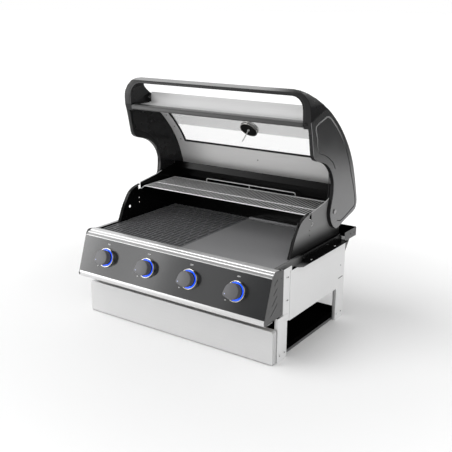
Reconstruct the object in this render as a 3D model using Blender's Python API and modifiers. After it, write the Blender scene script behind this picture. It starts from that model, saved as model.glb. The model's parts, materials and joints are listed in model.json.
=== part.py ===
"""Built in gas grill with a windowed roasting hood, as separate pieces.

Metres. +X is the right side seen from the front, +Y the back, +Z up. The front face of the drip tray's
panel is at Y = 0 until the last step, which puts the middle of the whole object's box at Y = 0.
Run with: blender --background --python part.py
"""

import bpy
import bmesh
from math import acos
from math import atan2
from math import degrees
from math import cos
from math import pi
from math import radians
from math import sin
from mathutils import Matrix
from mathutils import Vector
from mathutils.geometry import interpolate_bezier

# General sizes
GAP = 0.0003                  # between pieces that touch
SHEET = 0.0015                # folded sheet metal
OVERRUN = 0.004               # how far a cutter runs past a face
SCREW_HOLE = 0.0026           # radius

# Main sizes, which the pieces take their places from
BODY_HALF_WIDTH = 0.4236      # to the outside of the side panels
FIREBOX_FRONT = 0.052
FIREBOX_BACK = 0.5135
PANEL_TOP = 0.313             # what the counter flanges rest on

# Side panels with their rear legs, front posts and front legs
PANEL_FRONT = 0.1045
PANEL_PAST_BOX = 0.0095       # behind the firebox
PANEL_BACK = FIREBOX_BACK + PANEL_PAST_BOX
PANEL_BOTTOM = 0.132
LEG_RETURN = 0.0135           # inward fold along a leg
FOOT_REACH = 0.0255           # inward fold under a leg
REAR_LEG_WIDTH = 0.0624
REAR_LEG_FRONT = PANEL_BACK - REAR_LEG_WIDTH
FRONT_LEG_FRONT = 0.0272
FRONT_LEG_WIDTH = 0.0625
POST_FRONT = 0.062
POST_LAP = 0.011              # how far a post runs behind the side panel
POST_BOTTOM = 0.134
POST_PAST_PANEL = 0.016       # above the side panel
POST_TOP = PANEL_TOP + POST_PAST_PANEL
POST_HOLE_SHARES = (0.90, 0.645)

# Counter flanges, folded like a Z
FLANGE_FRONT = 0.152
FLANGE_CORNER = 0.012
FLANGE_REACH = 0.0165         # how far a flange stands out past its side panel
FLANGE_WEB_INSET = 0.0136     # from the outside of the side panel
FLANGE_WEB = BODY_HALF_WIDTH - FLANGE_WEB_INSET
FLANGE_WEB_HEIGHT = 0.025
FLANGE_TOP = PANEL_TOP + FLANGE_WEB_HEIGHT    # top lip, which the hood closes over
LIP_FRONT = 0.0375
SLOT_LENGTH = 0.016
SLOT_WIDTH = 0.007
SLOT_INSETS = (0.2665, 0.084)    # from the back of the firebox

# Firebox
WALL_INSET = 0.0256           # from the outside of a side panel to that of a side wall
FIREBOX_HALF_WIDTH = BODY_HALF_WIDTH - WALL_INSET
RAIL_UNDER_LIP = 0.0023
WALL_RAIL = FLANGE_TOP - RAIL_UNDER_LIP       # top of a side wall beside the plates
WING_LENGTH = 0.3705
WING_FRONT = FIREBOX_BACK - WING_LENGTH       # where a side wall starts to rise
WING_DEPTH = 0.1305
WING_RISE = 0.1333
WING_SHARES = ((0.0, 0.0), (0.06, 0.10), (0.20, 0.40), (0.36, 0.64), (0.52, 0.835), (0.73, 0.94), (1.0, 1.0))
WING_PAST_BOX = 0.0035
WING_TOP_BACK = FIREBOX_BACK + WING_PAST_BOX
WING_TOP_RISE = 0.0425
WING_TOP_SHARES = ((0.0, 0.0), (0.41, 0.32), (0.60, 0.576), (0.882, 0.88), (1.0, 1.0))
WING_FLANGE = 0.013
RACK_SLOT_WIDTH = 0.014
RACK_SLOT_RISE = 0.1093
RACK_SLOT_BOTTOM = WALL_RAIL + RACK_SLOT_RISE
SPIT_HOLE = 0.0062
SPIT_IN_WING = (0.075, 0.0483)
HOLES_IN_WING = ((0.134, 0.0723), (0.134, 0.0543))
REAR_WALL_RISE = 0.159        # above the flanges' top
REAR_WALL_BEND = FLANGE_TOP + REAR_WALL_RISE
REAR_WALL_LIP = 0.026
REAR_WALL_TOP = REAR_WALL_BEND + REAR_WALL_LIP
REAR_WALL_LEAN = 0.0055
WALL_FOLD = 0.012             # inward fold along the bottom of the front and rear walls
LEDGE = 0.024                 # what the plates rest on
RACK_TAB_WIDTH = 0.030
RACK_TAB_DEPTH = 0.020
RACK_TAB_INSET = 0.145        # from the rack's end to the middle of a tab

# Cooking plates
PLATE_UNDER_LIP = 0.005       # below the flanges' top
PLATE_TOP = FLANGE_TOP - PLATE_UNDER_LIP
PLATE_THICKNESS = 0.012
PLATE_PAST_FRONT = 0.0110
PLATE_FRONT = FIREBOX_FRONT - PLATE_PAST_FRONT
PLATE_BACK_GAP = 0.0050
PLATE_BACK = FIREBOX_BACK - PLATE_BACK_GAP
PLATE_SPLIT = 0.0016          # between the two plates
PLATE_SIDE_GAP = 0.003
GRILL_RIM = 0.0085
GRILL_COLUMNS = 20
GRILL_BAR = 0.0085
GRILL_ROWS = 5
GRILL_TIE = 0.0075
HOTPLATE_RIM = 0.010
HOTPLATE_SKIN = 0.0085
HOTPLATE_LIP = 0.010
HOTPLATE_LIP_HEIGHT = 0.0045
DRAIN_SLOTS = 4
DRAIN_SLOT_WIDTH = 0.009
DRAIN_SLOT_GAP = 0.022

# Warming rack
RACK_ABOVE_SLOT = 0.0133
RACK_TOP = RACK_SLOT_BOTTOM + RACK_ABOVE_SLOT
RACK_WIRE = 0.0030
RACK_ROD = 0.0021             # half width of its frame
RACK_BEND = 0.0018            # radius of its hooks and its stop
RACK_BACK_GAP = 0.0150
RACK_BACK = FIREBOX_BACK - RACK_BACK_GAP
RACK_DEPTH = 0.2055
RACK_FRONT = RACK_BACK - RACK_DEPTH
RACK_CROSS_IN = 0.0790
RACK_CROSS = RACK_FRONT + RACK_CROSS_IN
RACK_SIDE_GAP = 0.0130
RACK_HALF_WIDTH = FIREBOX_HALF_WIDTH - RACK_SIDE_GAP
RACK_WIRES = 31
RACK_STOP_RISE = 0.0150
RACK_STOP_END = 0.1720        # from the rack's end
RACK_STOP_INSET = 0.0085

# Rear channel and back panel
CHANNEL_DEPTH = 0.0995
CHANNEL_BACK = FIREBOX_BACK + CHANNEL_DEPTH
CHANNEL_PAST_FLANGE = 0.0050
CHANNEL_TOP = FLANGE_TOP + CHANNEL_PAST_FLANGE
CHANNEL_DROP = 0.0340
CHANNEL_BOTTOM = CHANNEL_TOP - CHANNEL_DROP
GUSSET_DEPTH = 0.0330
GUSSET_DROP = 0.0410
BACK_PANEL_INSET = 0.0030
BACK_PANEL_BOTTOM = PANEL_BOTTOM + BACK_PANEL_INSET

# Fascia, leaning back from the bottom to the top
FASCIA_INSET = 0.0036         # from the outside of a side panel to the fascia's end
FASCIA_HALF_WIDTH = BODY_HALF_WIDTH - FASCIA_INSET
FASCIA_OUT = 0.0618           # from the firebox to the fascia's top edge
FASCIA_PAST_PANEL = 0.0050
FASCIA_TOP = (FIREBOX_FRONT - FASCIA_OUT, PANEL_TOP + FASCIA_PAST_PANEL)
FASCIA_LEAN = 0.0450
FASCIA_RISE = 0.1318
FASCIA_BOTTOM = (FASCIA_TOP[0] - FASCIA_LEAN, FASCIA_TOP[1] - FASCIA_RISE)
FASCIA_SHEET = 0.0040
TOP_TRIM_DEPTH = 0.0455
TOP_TRIM_RISE = 0.0190
TOP_TRIM_SHARES = (
    (0.0, 0.0), (0.044, 0.40), (0.165, 0.73), (0.341, 0.87), (0.44, 0.76), (0.538, 0.87), (0.648, 1.0), (1.0, 1.0),
)
TOP_TRIM_DROP = 0.0228        # height of its hidden rear fold
LOWER_TRIM_DROP = 0.0240
LOWER_TRIM_SHARES = ((0.0, 1.0), (-0.045, 0.73), (-0.033, 0.31), (0.0465, 0.0625), (0.181, 0.0), (1.0, 0.0))
END_CAP_DROP = 0.0212
END_CAP_BOTTOM = FASCIA_BOTTOM[1] - END_CAP_DROP
LEG_UNDER_CAP = 0.0014
FRONT_LEG_HEIGHT = END_CAP_BOTTOM - LEG_UNDER_CAP
END_CAP_DEPTH = 0.1133
END_CAP_HEIGHT = 0.1735
END_CAP_SHARES = (
    (0.0, 0.122), (0.397, 0.882), (0.4175, 0.928), (0.466, 0.963), (0.484, 0.9856), (0.607, 1.0), (1.0, 0.957),
    (0.987, 0.029), (0.272, 0.029), (0.051, 0.0), (-0.02, 0.02), (-0.033, 0.075),
)
END_CAP_SLOT = 0.0030
END_CAP_SLOT_SHARES = (
    ((0.6425, 0.83), (0.4837, 0.7378)), ((0.6425, 0.657), (0.4395, 0.5476)),
    ((0.6337, 0.5014), (0.3689, 0.3458)), ((0.6514, 0.3343), (0.2983, 0.1499)),
)

# Knobs and their valves; a knob's axis stands square to the fascia
KNOB_SHARES = (-0.70238, -0.23095, 0.23095, 0.70238)    # of the fascia's half width
KNOB_PLACES = tuple(share * FASCIA_HALF_WIDTH for share in KNOB_SHARES)
KNOB_UP = 0.0725              # from the fascia's bottom edge, along its slope
KNOB_REST_TURN = 118          # degrees anticlockwise from OFF, which is at the top
BEZEL_RADIUS = 0.0368
BEZEL_WALL = 0.0050
BEZEL_HEIGHT = 0.0100
BEZEL_ROUND = 0.0014
LED_RING_WIDTH = 0.0052
LED_RING_HEIGHT = 0.0042
KNOB_RADIUS = 0.0268
KNOB_NOSE = 0.0345
KNOB_NOSE_RADIUS = 0.0095
KNOB_BASE = 0.0092
KNOB_NECK = 0.0148            # where the nose starts, clear of the bezel when the knob is pressed
KNOB_TOP = 0.0360
KNOB_EDGE = 0.0020
STEM_RADIUS = 0.0040
STEM_OUT = 0.0300             # in front of the fascia's face
STEM_IN = 0.0340              # behind it
STEM_TRAVEL = 0.0040
VALVE_FRONT = 0.0220
VALVE_LENGTH = 0.0340
VALVE_WIDTH = 0.0240

# Gas train
MANIFOLD_RADIUS = 0.0085
MANIFOLD_IN = 0.0678          # from the fascia's bottom edge
MANIFOLD_UP = 0.0308
MANIFOLD_PLACE = (FASCIA_BOTTOM[0] + MANIFOLD_IN, FASCIA_BOTTOM[1] + MANIFOLD_UP)
MANIFOLD_END = 0.0300         # past the last valve
PIPE_OUT = 0.0600
MANIFOLD_LEFT = KNOB_PLACES[-1] + MANIFOLD_END
MANIFOLD_RIGHT = KNOB_PLACES[-1] + PIPE_OUT
PIPE_DROP = 0.0320
MANIFOLD_LOW = MANIFOLD_PLACE[1] - PIPE_DROP
MANIFOLD_BEND = 0.0200
VALVE_NECK = 0.0055
INJECTOR_RADIUS = 0.0040
INJECTOR_REACH = 0.0060       # into the burner's mouth
INLET_OUT = 0.0080            # from the back panel to the inlet nut
INLET_NUT = 0.0135
INLET_NUT_LENGTH = 0.0140
INLET_LENGTH = 0.0300
BURNER_ABOVE_RAIL = 0.0230
BURNER_HEIGHT = MANIFOLD_PLACE[1] + BURNER_ABOVE_RAIL
BURNER_RISE = 0.0350
FIREBOX_BOTTOM = BURNER_HEIGHT - BURNER_RISE
BURNER_MOUTH = 0.0125
BURNER_MOUTH_WALL = 0.0020
BURNER_MOUTH_OUT = 0.0105     # in front of the firebox
BURNER_MOUTH_DEPTH = 0.0300
BURNER_THROAT = 0.0090
BURNER_RADIUS = 0.0155
BURNER_FLARE = 0.0500
BURNER_BACK_GAP = 0.0165
BURNER_PIN = 0.0040
IGNITER_SIZE = (0.060, 0.034, 0.0140)
IGNITER_PLACE = (KNOB_PLACES[0] + KNOB_PLACES[1]) / 2

# Hood, drawn open. Its outlines are shares of its depth and height, from the hinge
HINGE_IN = 0.0795             # in front of the firebox's back
HINGE_UP = 0.1060             # above the flanges' top
HINGE_PLACE = (FIREBOX_BACK - HINGE_IN, FLANGE_TOP + HINGE_UP)
HOOD_DEPTH = 0.400
HOOD_HEIGHT = 0.529
HOOD_PAST_WALL = 0.0165
HOOD_HALF_WIDTH = FIREBOX_HALF_WIDTH + HOOD_PAST_WALL
CAP_THICKNESS = 0.0150
RIM_DEPTH = 0.0330            # how far a cap's rim reaches inward
RIM = 0.0080                  # wall of the rim
GROOVE = 0.0024
GROOVE_DEPTH = 0.0012
GROOVE_INSET = 0.0140
SEAM_FRONT_SHARE = (-0.5075, 0.6673)
SEAM_BACK_SHARE = (-0.2225, 0.7363)
HANDLE_SHARES = ((-0.5130, 0.7490), (-0.5010, 0.8485), (-0.4788, 0.8677), (-0.2350, 0.7429))
BACK_CURVE_SHARES = (
    (-0.125, 0.690), (0.0275, 0.601), (0.155, 0.5066), (0.2625, 0.4045), (0.3425, 0.3025), (0.405, 0.1853),
    (0.4475, 0.0832), (0.4735, 0.0057), (0.4625, -0.0397), (0.425, -0.0624), (0.3325, -0.0813), (0.2775, -0.0917),
)
EAR_CURVE_SHARES = (
    (0.1975, -0.1059), (0.0675, -0.1323), (0.005, -0.1140), (-0.0375, -0.0851), (-0.0690, -0.0416), (-0.080, 0.0076),
    (-0.064, 0.0600), (-0.040, 0.1153), (-0.030, 0.1739), (-0.0425, 0.2268), (-0.0725, 0.276), (-0.130, 0.3251),
    (-0.195, 0.3592), (-0.2675, 0.3819), (-0.3675, 0.4026), (-0.410, 0.4178), (-0.435, 0.4405), (-0.4525, 0.4915),
)
FRONT_CURVE_SHARES = ((-0.4525, 0.4915), (-0.480, 0.5917))
POCKET_START_SHARE = 0.015    # of the back curve, so that a rim is left along the seam
POCKET_END_SHARE = 0.93       # of the front edge
HANDLE_TOP_BAR = 0.0220
HANDLE_OUTER_CORNER = 0.0780
HANDLE_INNER_CORNER = 0.0450
RAIL_DEPTH = 0.0305
RAIL_HEIGHT = 0.0190
RAIL_ROUND = 0.0050
RAIL_WALL = 0.0020
HEADER_DROP = 0.0050
HEADER_RISE = 0.0430
GLASS_THICKNESS = 0.0050
GLASS_END_SHARE = 0.5535      # of the back curve's length
SKIN_GAP_SHARE = 0.0040
SEAL_RADIUS = 0.0042
WINDOW_INSET = 0.0545
WINDOW_HALF_WIDTH = HOOD_HALF_WIDTH - WINDOW_INSET
WINDOW_END_SHARE = 0.5150
LINER_START_SHARE = 0.0600
LINER_END_SHARE = 0.7300
SEAL_MARGIN = 0.0065
THERMOMETER_SHARE = 0.3340
THERMOMETER_RADIUS = 0.0380
THERMOMETER_HEIGHT = 0.0100
THERMOMETER_BEZEL = 0.0030
THERMOMETER_SEAT = 0.0009
THERMOMETER_NECK = 0.0055
THERMOMETER_NUT = 0.0110
THERMOMETER_NUT_HEIGHT = 0.0060
PROBE_RADIUS = 0.0022
PROBE_LENGTH = 0.0620
PIN_RADIUS = 0.0050
PIN_HEAD = 0.0085
PIN_HEAD_HEIGHT = 0.0030

# Drip tray on its runners
TRAY_BACK_GAP = 0.0025
TRAY_BACK = PANEL_BACK - TRAY_BACK_GAP
TRAY_HEIGHT = 0.0280
TRAY_PANEL_BOTTOM = 0.0030
TRAY_PANEL_TOP = 0.1258
TRAY_PANEL_INSET = 0.0027
TRAY_PANEL_HALF_WIDTH = BODY_HALF_WIDTH - TRAY_PANEL_INSET
TRAY_PANEL_RETURN = 0.0240
TRAY_PANEL_CORNER = 0.0060
RUNNER_LIP = 0.0150
RUNNER_HEIGHT = 0.0120
RUNNER_FRONT = 0.0300

# How finely round shapes are cut
CURVE_STEPS = 2
ROUND = 20
SMALL_ROUND = 10
FLATNESS = 0.2                # degrees, below which faces count as one flat face

SIDES = (("left", -1), ("right", 1))
TURNS = {
    "X": Matrix(((0, 0, 1), (1, 0, 0), (0, 1, 0))).to_4x4(),
    "Y": Matrix(((1, 0, 0), (0, 0, -1), (0, 1, 0))).to_4x4(),
    "Z": Matrix.Identity(4),
}

for thing in list(bpy.data.objects):
    bpy.data.objects.remove(thing, do_unlink=True)


def new_collection(name):
    made = bpy.data.collections.new(name)
    bpy.context.scene.collection.children.link(made)
    return made


parts = new_collection("built_in_gas_grill")
cutters = new_collection("cutters")


# Materials

def new_material(name, colour, roughness, metallic):
    made = bpy.data.materials.new(name)
    made.use_nodes = True
    shader = made.node_tree.nodes["Principled BSDF"]
    shader.inputs["Base Color"].default_value = (*colour, 1)
    shader.inputs["Roughness"].default_value = roughness
    shader.inputs["Metallic"].default_value = metallic
    made.diffuse_color = (*colour, 1)
    return made


stainless = new_material("brushed_stainless", (0.72, 0.72, 0.71), 0.32, 1.0)
plated = new_material("plated_sheet", (0.78, 0.78, 0.78), 0.38, 0.9)
enamel = new_material("black_enamel", (0.012, 0.012, 0.013), 0.28, 0.0)
cast_black = new_material("cast_black", (0.035, 0.035, 0.037), 0.34, 0.2)
iron = new_material("cast_iron", (0.055, 0.055, 0.057), 0.55, 0.3)
fascia_black = new_material("fascia_black", (0.045, 0.046, 0.048), 0.18, 0.0)
knob_grey = new_material("knob_grey", (0.16, 0.16, 0.165), 0.45, 0.3)
chrome = new_material("chrome", (0.85, 0.85, 0.86), 0.08, 1.0)
led_blue = new_material("led_blue", (0.01, 0.05, 1.0), 0.4, 0.0)
window = new_material("window_glass", (0.85, 0.88, 0.88), 0.03, 0.0)
rubber = new_material("seal_black", (0.01, 0.01, 0.01), 0.7, 0.0)
brass = new_material("brass", (0.62, 0.45, 0.18), 0.35, 1.0)
plastic = new_material("igniter_plastic", (0.02, 0.02, 0.02), 0.5, 0.0)


# Lines and outlines

def smooth(points, steps=CURVE_STEPS):
    """A smooth line through the points."""
    points = [Vector(point) for point in points]
    last = len(points) - 1
    leans = [(points[min(k + 1, last)] - points[max(k - 1, 0)]).normalized() for k in range(last + 1)]
    line = [points[0]]
    for k in range(last):
        start, end = points[k], points[k + 1]
        reach = (end - start).length / 3
        run = interpolate_bezier(start, start + leans[k] * reach, end - leans[k + 1] * reach, end, steps + 1)
        line.extend(Vector(point).to_2d() for point in run[1:])
    return line


def inset(line, distance):
    """The line moved to its right-hand side, seen along its run."""
    last = len(line) - 1
    moved = []
    for k, point in enumerate(line):
        ahead = (line[min(k + 1, last)] - line[max(k - 1, 0)]).normalized()
        moved.append(point + Vector((ahead.y, -ahead.x)) * distance)
    return moved


def line_length(line):
    return sum((second - first).length for first, second in zip(line, line[1:]))


def along(line, share):
    """The point at a share of the line's length, and the line's direction there."""
    left = line_length(line) * share
    for first, second in zip(line, line[1:]):
        step = (second - first).length
        if left <= step:
            break
        left -= step
    ahead = (second - first).normalized()
    return first + ahead * min(left, step), ahead


def stretch(line, start_share, end_share):
    """The part of a line between two shares of its length."""
    whole = line_length(line)
    kept = [along(line, start_share)[0]]
    run = 0
    for first, second in zip(line, line[1:]):
        run += (second - first).length
        if whole * start_share < run < whole * end_share:
            kept.append(second)
    kept.append(along(line, end_share)[0])
    return kept


def wall(line, outer, thickness):
    """The closed outline of a sheet that lies on the right-hand side of a line."""
    return inset(line, outer) + inset(line, outer + thickness)[::-1]


def arc(centre, radius, first, last, steps):
    """Points on an arc, between two angles in degrees."""
    turns = [radians(first + (last - first) * step / steps) for step in range(steps + 1)]
    return [Vector((centre[0] + radius * cos(turn), centre[1] + radius * sin(turn))) for turn in turns]


def circle(centre, radius, steps=SMALL_ROUND):
    return arc(centre, radius, 0, 360, steps)[:-1]


def clear_of(radius, steps=SMALL_ROUND):
    """The corner radius of a faceted hole whose flats clear a round piece of this radius."""
    return (radius + GAP) / cos(pi / steps)


def slot(start, end, width, steps=3):
    """The outline of a slot with round ends, between the centres of its ends."""
    start, end = Vector(start), Vector(end)
    lean = atan2(end.y - start.y, end.x - start.x) * 180 / pi
    return arc(end, width / 2, lean - 90, lean + 90, steps) + arc(start, width / 2, lean + 90, lean + 270, steps)


def rectangle(low, high):
    return [Vector(low), Vector((high[0], low[1])), Vector(high), Vector((low[0], high[1]))]


def placed(table, origin, depth, height):
    """A table of shares as points, from an origin."""
    return [Vector((origin[0] + u * depth, origin[1] + v * height)) for u, v in table]


# Making pieces

def finish(name, data, surface, matrix, parent, home):
    made = bpy.data.objects.new(name, data)
    home.objects.link(made)
    if surface:
        data.materials.append(surface)
    made.parent = parent
    made.matrix_basis = matrix
    if home is cutters:
        made.hide_render = True
        made.display_type = "WIRE"
    return made


def flat(name, outlines, axis, low, high, surface=None, parent=None, home=parts):
    """A flat outline with any holes, run along an axis from low to high."""
    data = bpy.data.curves.new(name, "CURVE")
    data.dimensions = "2D"
    data.fill_mode = "BOTH"
    data.extrude = (high - low) / 2
    for outline in outlines:
        spline = data.splines.new("POLY")
        spline.points.add(len(outline) - 1)
        for point, place in zip(spline.points, outline):
            point.co = (place[0], place[1], 0, 1)
        spline.use_cyclic_u = True
    middle = {"X": (1, 0, 0), "Y": (0, 1, 0), "Z": (0, 0, 1)}[axis]
    matrix = Matrix.Translation(Vector(middle) * (low + high) / 2) @ TURNS[axis]
    return finish(name, data, surface, matrix, parent, home)


def as_mesh(piece):
    """The same piece as a welded mesh, which a Boolean can take."""
    bpy.context.view_layer.update()
    graph = bpy.context.evaluated_depsgraph_get()
    data = bpy.data.meshes.new_from_object(piece.evaluated_get(graph))
    shape = bmesh.new()
    shape.from_mesh(data)
    bmesh.ops.remove_doubles(shape, verts=shape.verts, dist=GAP / 30)
    bmesh.ops.recalc_face_normals(shape, faces=shape.faces)
    bmesh.ops.dissolve_limit(shape, angle_limit=radians(FLATNESS), verts=shape.verts, edges=shape.edges)
    shape.to_mesh(data)
    shape.free()
    name = piece.name
    home = piece.users_collection[0]
    matrix = piece.matrix_basis.copy()
    parent = piece.parent
    bpy.data.objects.remove(piece)
    return finish(name, data, None, matrix, parent, home)


def plate(name, outlines, axis, low, high, surface, parent=None):
    """A flat piece that is cut or joined later."""
    return as_mesh(flat(name, outlines, axis, low, high, surface, parent))


def tool(name, outlines, axis, low, high, parent=None):
    """A flat shape that cuts a piece, or is joined to it."""
    return as_mesh(flat(name, outlines, axis, low, high, None, parent, cutters))


def block(name, low, high, surface=None, parent=None, home=parts):
    size = Vector(high) - Vector(low)
    shape = bmesh.new()
    bmesh.ops.create_cube(shape, size=1)
    bmesh.ops.scale(shape, vec=size, verts=shape.verts)
    data = bpy.data.meshes.new(name)
    shape.to_mesh(data)
    shape.free()
    middle = (Vector(low) + Vector(high)) / 2
    return finish(name, data, surface, Matrix.Translation(middle), parent, home)


def block_tool(name, low, high, parent=None):
    return block(name, low, high, None, parent, cutters)


def grille(name, columns, rows, top, thickness, surface):
    """A flat grille between lines along both axes; every second strip both ways leaves an opening."""
    shape = bmesh.new()
    across, down = len(columns) - 1, len(rows) - 1
    bmesh.ops.create_grid(shape, x_segments=across, y_segments=down, size=1)
    middles = {face: face.calc_center_median() for face in shape.faces}
    holes = []
    for face, middle in middles.items():
        column = int((middle.x + 1) / 2 * across)
        row = int((middle.y + 1) / 2 * down)
        if column % 2 and row % 2:
            holes.append(face)
    for vertex in shape.verts:
        column = round((vertex.co.x + 1) / 2 * across)
        row = round((vertex.co.y + 1) / 2 * down)
        vertex.co = (columns[column], rows[row], top)
    bmesh.ops.delete(shape, geom=holes, context="FACES")
    data = bpy.data.meshes.new(name)
    shape.to_mesh(data)
    shape.free()
    made = finish(name, data, surface, Matrix.Identity(4), None, parts)
    sheet = made.modifiers.new("sheet", "SOLIDIFY")
    sheet.thickness = thickness
    sheet.offset = -1
    return made


def rod(name, radius, start, end, surface=None, steps=SMALL_ROUND, parent=None, home=parts):
    """A round bar between two points."""
    start, end = Vector(start), Vector(end)
    length = (end - start).length
    shape = bmesh.new()
    bmesh.ops.create_cone(shape, cap_ends=True, segments=steps, radius1=radius, radius2=radius, depth=length)
    data = bpy.data.meshes.new(name)
    shape.to_mesh(data)
    shape.free()
    turn = (end - start).to_track_quat("Z", "Y").to_matrix().to_4x4()
    return finish(name, data, surface, Matrix.Translation((start + end) / 2) @ turn, parent, home)


def rod_tool(name, radius, start, end, steps=SMALL_ROUND, parent=None):
    return rod(name, radius, start, end, None, steps, parent, cutters)


def turned(name, profile, surface, matrix=None, steps=ROUND, parent=None, home=parts, ring=False):
    """A turned shape, whose profile runs down its outer side. A ring's profile is a closed loop."""
    shape = bmesh.new()
    points = [shape.verts.new((radius, 0, height)) for radius, height in profile]
    pairs = list(zip(points, points[1:]))
    if ring:
        pairs.append((points[-1], points[0]))
    for pair in pairs:
        shape.edges.new(pair)
    data = bpy.data.meshes.new(name)
    shape.to_mesh(data)
    shape.free()
    made = finish(name, data, surface, matrix or Matrix.Identity(4), parent, home)
    spin = made.modifiers.new("turn", "SCREW")
    spin.steps = steps
    spin.render_steps = steps
    spin.use_merge_vertices = True
    spin.merge_threshold = GAP / 30
    spin.use_smooth_shade = True
    return made


def tube(name, points, radius, surface=None, resolution=1, closed=False, parent=None, home=parts):
    """A wire or pipe along the points."""
    data = bpy.data.curves.new(name, "CURVE")
    data.dimensions = "3D"
    data.bevel_depth = radius
    data.bevel_resolution = resolution
    data.use_fill_caps = True
    spline = data.splines.new("POLY")
    spline.points.add(len(points) - 1)
    for point, place in zip(spline.points, points):
        point.co = (*place, 1)
    spline.use_cyclic_u = closed
    return finish(name, data, surface, Matrix.Identity(4), parent, home)


def tube_tool(name, points, radius, resolution=1, parent=None):
    return as_mesh(tube(name, points, radius, None, resolution, False, parent, cutters))


def bend(points, radius, steps=3):
    """Straight runs between the points, with round corners."""
    points = [Vector(point) for point in points]
    line = [points[0]]
    for before, corner, after in zip(points, points[1:], points[2:]):
        start = corner + (before - corner).normalized() * radius
        end = corner + (after - corner).normalized() * radius
        for step in range(steps + 1):
            share = step / steps
            line.append(start.lerp(corner, share).lerp(corner.lerp(end, share), share))
    line.append(points[-1])
    return line


def folded(name, line, axis, low, high, surface=None, side=-1, thickness=SHEET, parent=None, home=parts):
    """Sheet metal bent to an open line and run along an axis. Side -1 puts its wall on the right of the
    line, 1 on the left, as the outline's own axes are seen."""
    if axis == "Y":
        low, high = -high, -low
    shape = bmesh.new()
    rim = [shape.verts.new((point[0], point[1], low)) for point in line]
    edges = [shape.edges.new(pair) for pair in zip(rim, rim[1:])]
    run = bmesh.ops.extrude_edge_only(shape, edges=edges)["geom"]
    ends = [item for item in run if isinstance(item, bmesh.types.BMVert)]
    bmesh.ops.translate(shape, verts=ends, vec=(0, 0, high - low))
    bmesh.ops.recalc_face_normals(shape, faces=shape.faces)
    ahead = Vector(line[1]) - Vector(line[0])
    left = Vector((-ahead.y, ahead.x, 0))
    if edges[0].link_faces[0].normal.dot(left) < 0:
        bmesh.ops.reverse_faces(shape, faces=shape.faces)
    data = bpy.data.meshes.new(name)
    shape.to_mesh(data)
    shape.free()
    made = finish(name, data, surface, TURNS[axis], parent, home)
    sheet = made.modifiers.new("sheet", "SOLIDIFY")
    sheet.thickness = thickness
    sheet.offset = side
    sheet.use_even_offset = True
    return made


def boolean(piece, other, operation):
    step = piece.modifiers.new(other.name, "BOOLEAN")
    step.operation = operation
    step.solver = "EXACT"
    step.object = other


def cut(piece, *tools):
    for other in tools:
        boolean(piece, other, "DIFFERENCE")


def join(piece, *tools):
    for other in tools:
        boolean(piece, other, "UNION")


def keep_inside(piece, other):
    boolean(piece, other, "INTERSECT")


def merge_flats(piece):
    """Joins the small faces that cuts and joins leave on one flat face."""
    step = piece.modifiers.new("flats", "DECIMATE")
    step.decimate_type = "DISSOLVE"
    step.angle_limit = radians(FLATNESS)


def axis_empty(name, place, turn=None):
    """An empty that carries the pieces of one joint, on its axis."""
    made = bpy.data.objects.new(name, None)
    parts.objects.link(made)
    made.matrix_basis = Matrix.Translation(place) @ (turn or Matrix.Identity(4))
    return made


def ordered(first, second):
    return min(first, second), max(first, second)


# Body shell

flange_low = PANEL_TOP + GAP
flange_top_face = flange_low + SHEET
panel_inner = BODY_HALF_WIDTH - SHEET
post_outer = panel_inner - GAP
channel_front = FIREBOX_BACK + GAP
wall_inner = FIREBOX_HALF_WIDTH - SHEET
inner_half_width = wall_inner - GAP
ledge_top = PLATE_TOP - PLATE_THICKNESS - GAP
runner_low = SHEET + GAP
runner_outer = BODY_HALF_WIDTH - LEG_RETURN - GAP
slot_front = WING_FRONT + WING_DEPTH
slot_back = slot_front + RACK_SLOT_WIDTH
slot_middle = (slot_front + slot_back) / 2


def side_panel(side, sign):
    """A side panel with its rear leg: a return along the leg's front, and a foot."""
    name = "side_panel_" + side
    low, high = ordered(sign * panel_inner, sign * BODY_HALF_WIDTH)
    outline = [
        (PANEL_FRONT, PANEL_BOTTOM), (REAR_LEG_FRONT, PANEL_BOTTOM), (REAR_LEG_FRONT, GAP), (PANEL_BACK, GAP),
        (PANEL_BACK, PANEL_TOP), (PANEL_FRONT, PANEL_TOP),
    ]
    leg_middle = (REAR_LEG_FRONT + PANEL_BACK) / 2
    hole_low = FOOT_REACH
    holes = [
        circle((leg_middle + sign_y * LEG_RETURN, hole_low), SCREW_HOLE, steps=8) for sign_y in (-1, 1)
    ]
    panel = plate(name, [outline, *holes], "X", low, high, plated)
    half = sign * (BODY_HALF_WIDTH - SHEET / 2)
    fold_low, fold_high = ordered(sign * (BODY_HALF_WIDTH - LEG_RETURN), half)
    fold = block_tool(name + "_fold", (fold_low, REAR_LEG_FRONT + GAP, SHEET / 2),
                      (fold_high, REAR_LEG_FRONT + GAP + SHEET, PANEL_BOTTOM - GAP))
    foot_low, foot_high = ordered(sign * (BODY_HALF_WIDTH - FOOT_REACH), half)
    foot = block_tool(name + "_foot", (foot_low, REAR_LEG_FRONT + 2 * GAP, 0), (foot_high, PANEL_BACK - GAP, SHEET))
    join(panel, fold, foot)


def front_post(side, sign):
    """An upright strip behind the end of the fascia, folded inward to the counter flange's web."""
    name = "front_post_" + side
    inner, outer = sign * (FLANGE_WEB + GAP), sign * post_outer
    back = PANEL_FRONT + POST_LAP
    middle = (POST_FRONT + PANEL_FRONT) / 2
    holes = [circle((middle, share * POST_TOP), SCREW_HOLE, steps=8) for share in POST_HOLE_SHARES]
    outline = rectangle((POST_FRONT, POST_BOTTOM), (back, POST_TOP))
    low, high = ordered(outer - sign * SHEET, outer)
    post = plate(name, [outline, *holes], "X", low, high, plated)
    fold_low, fold_high = ordered(inner, outer - sign * SHEET / 2)
    fold = block_tool(name + "_fold", (fold_low, POST_FRONT + GAP, POST_BOTTOM + GAP),
                      (fold_high, POST_FRONT + GAP + SHEET, POST_TOP - GAP))
    join(post, fold)


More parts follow.
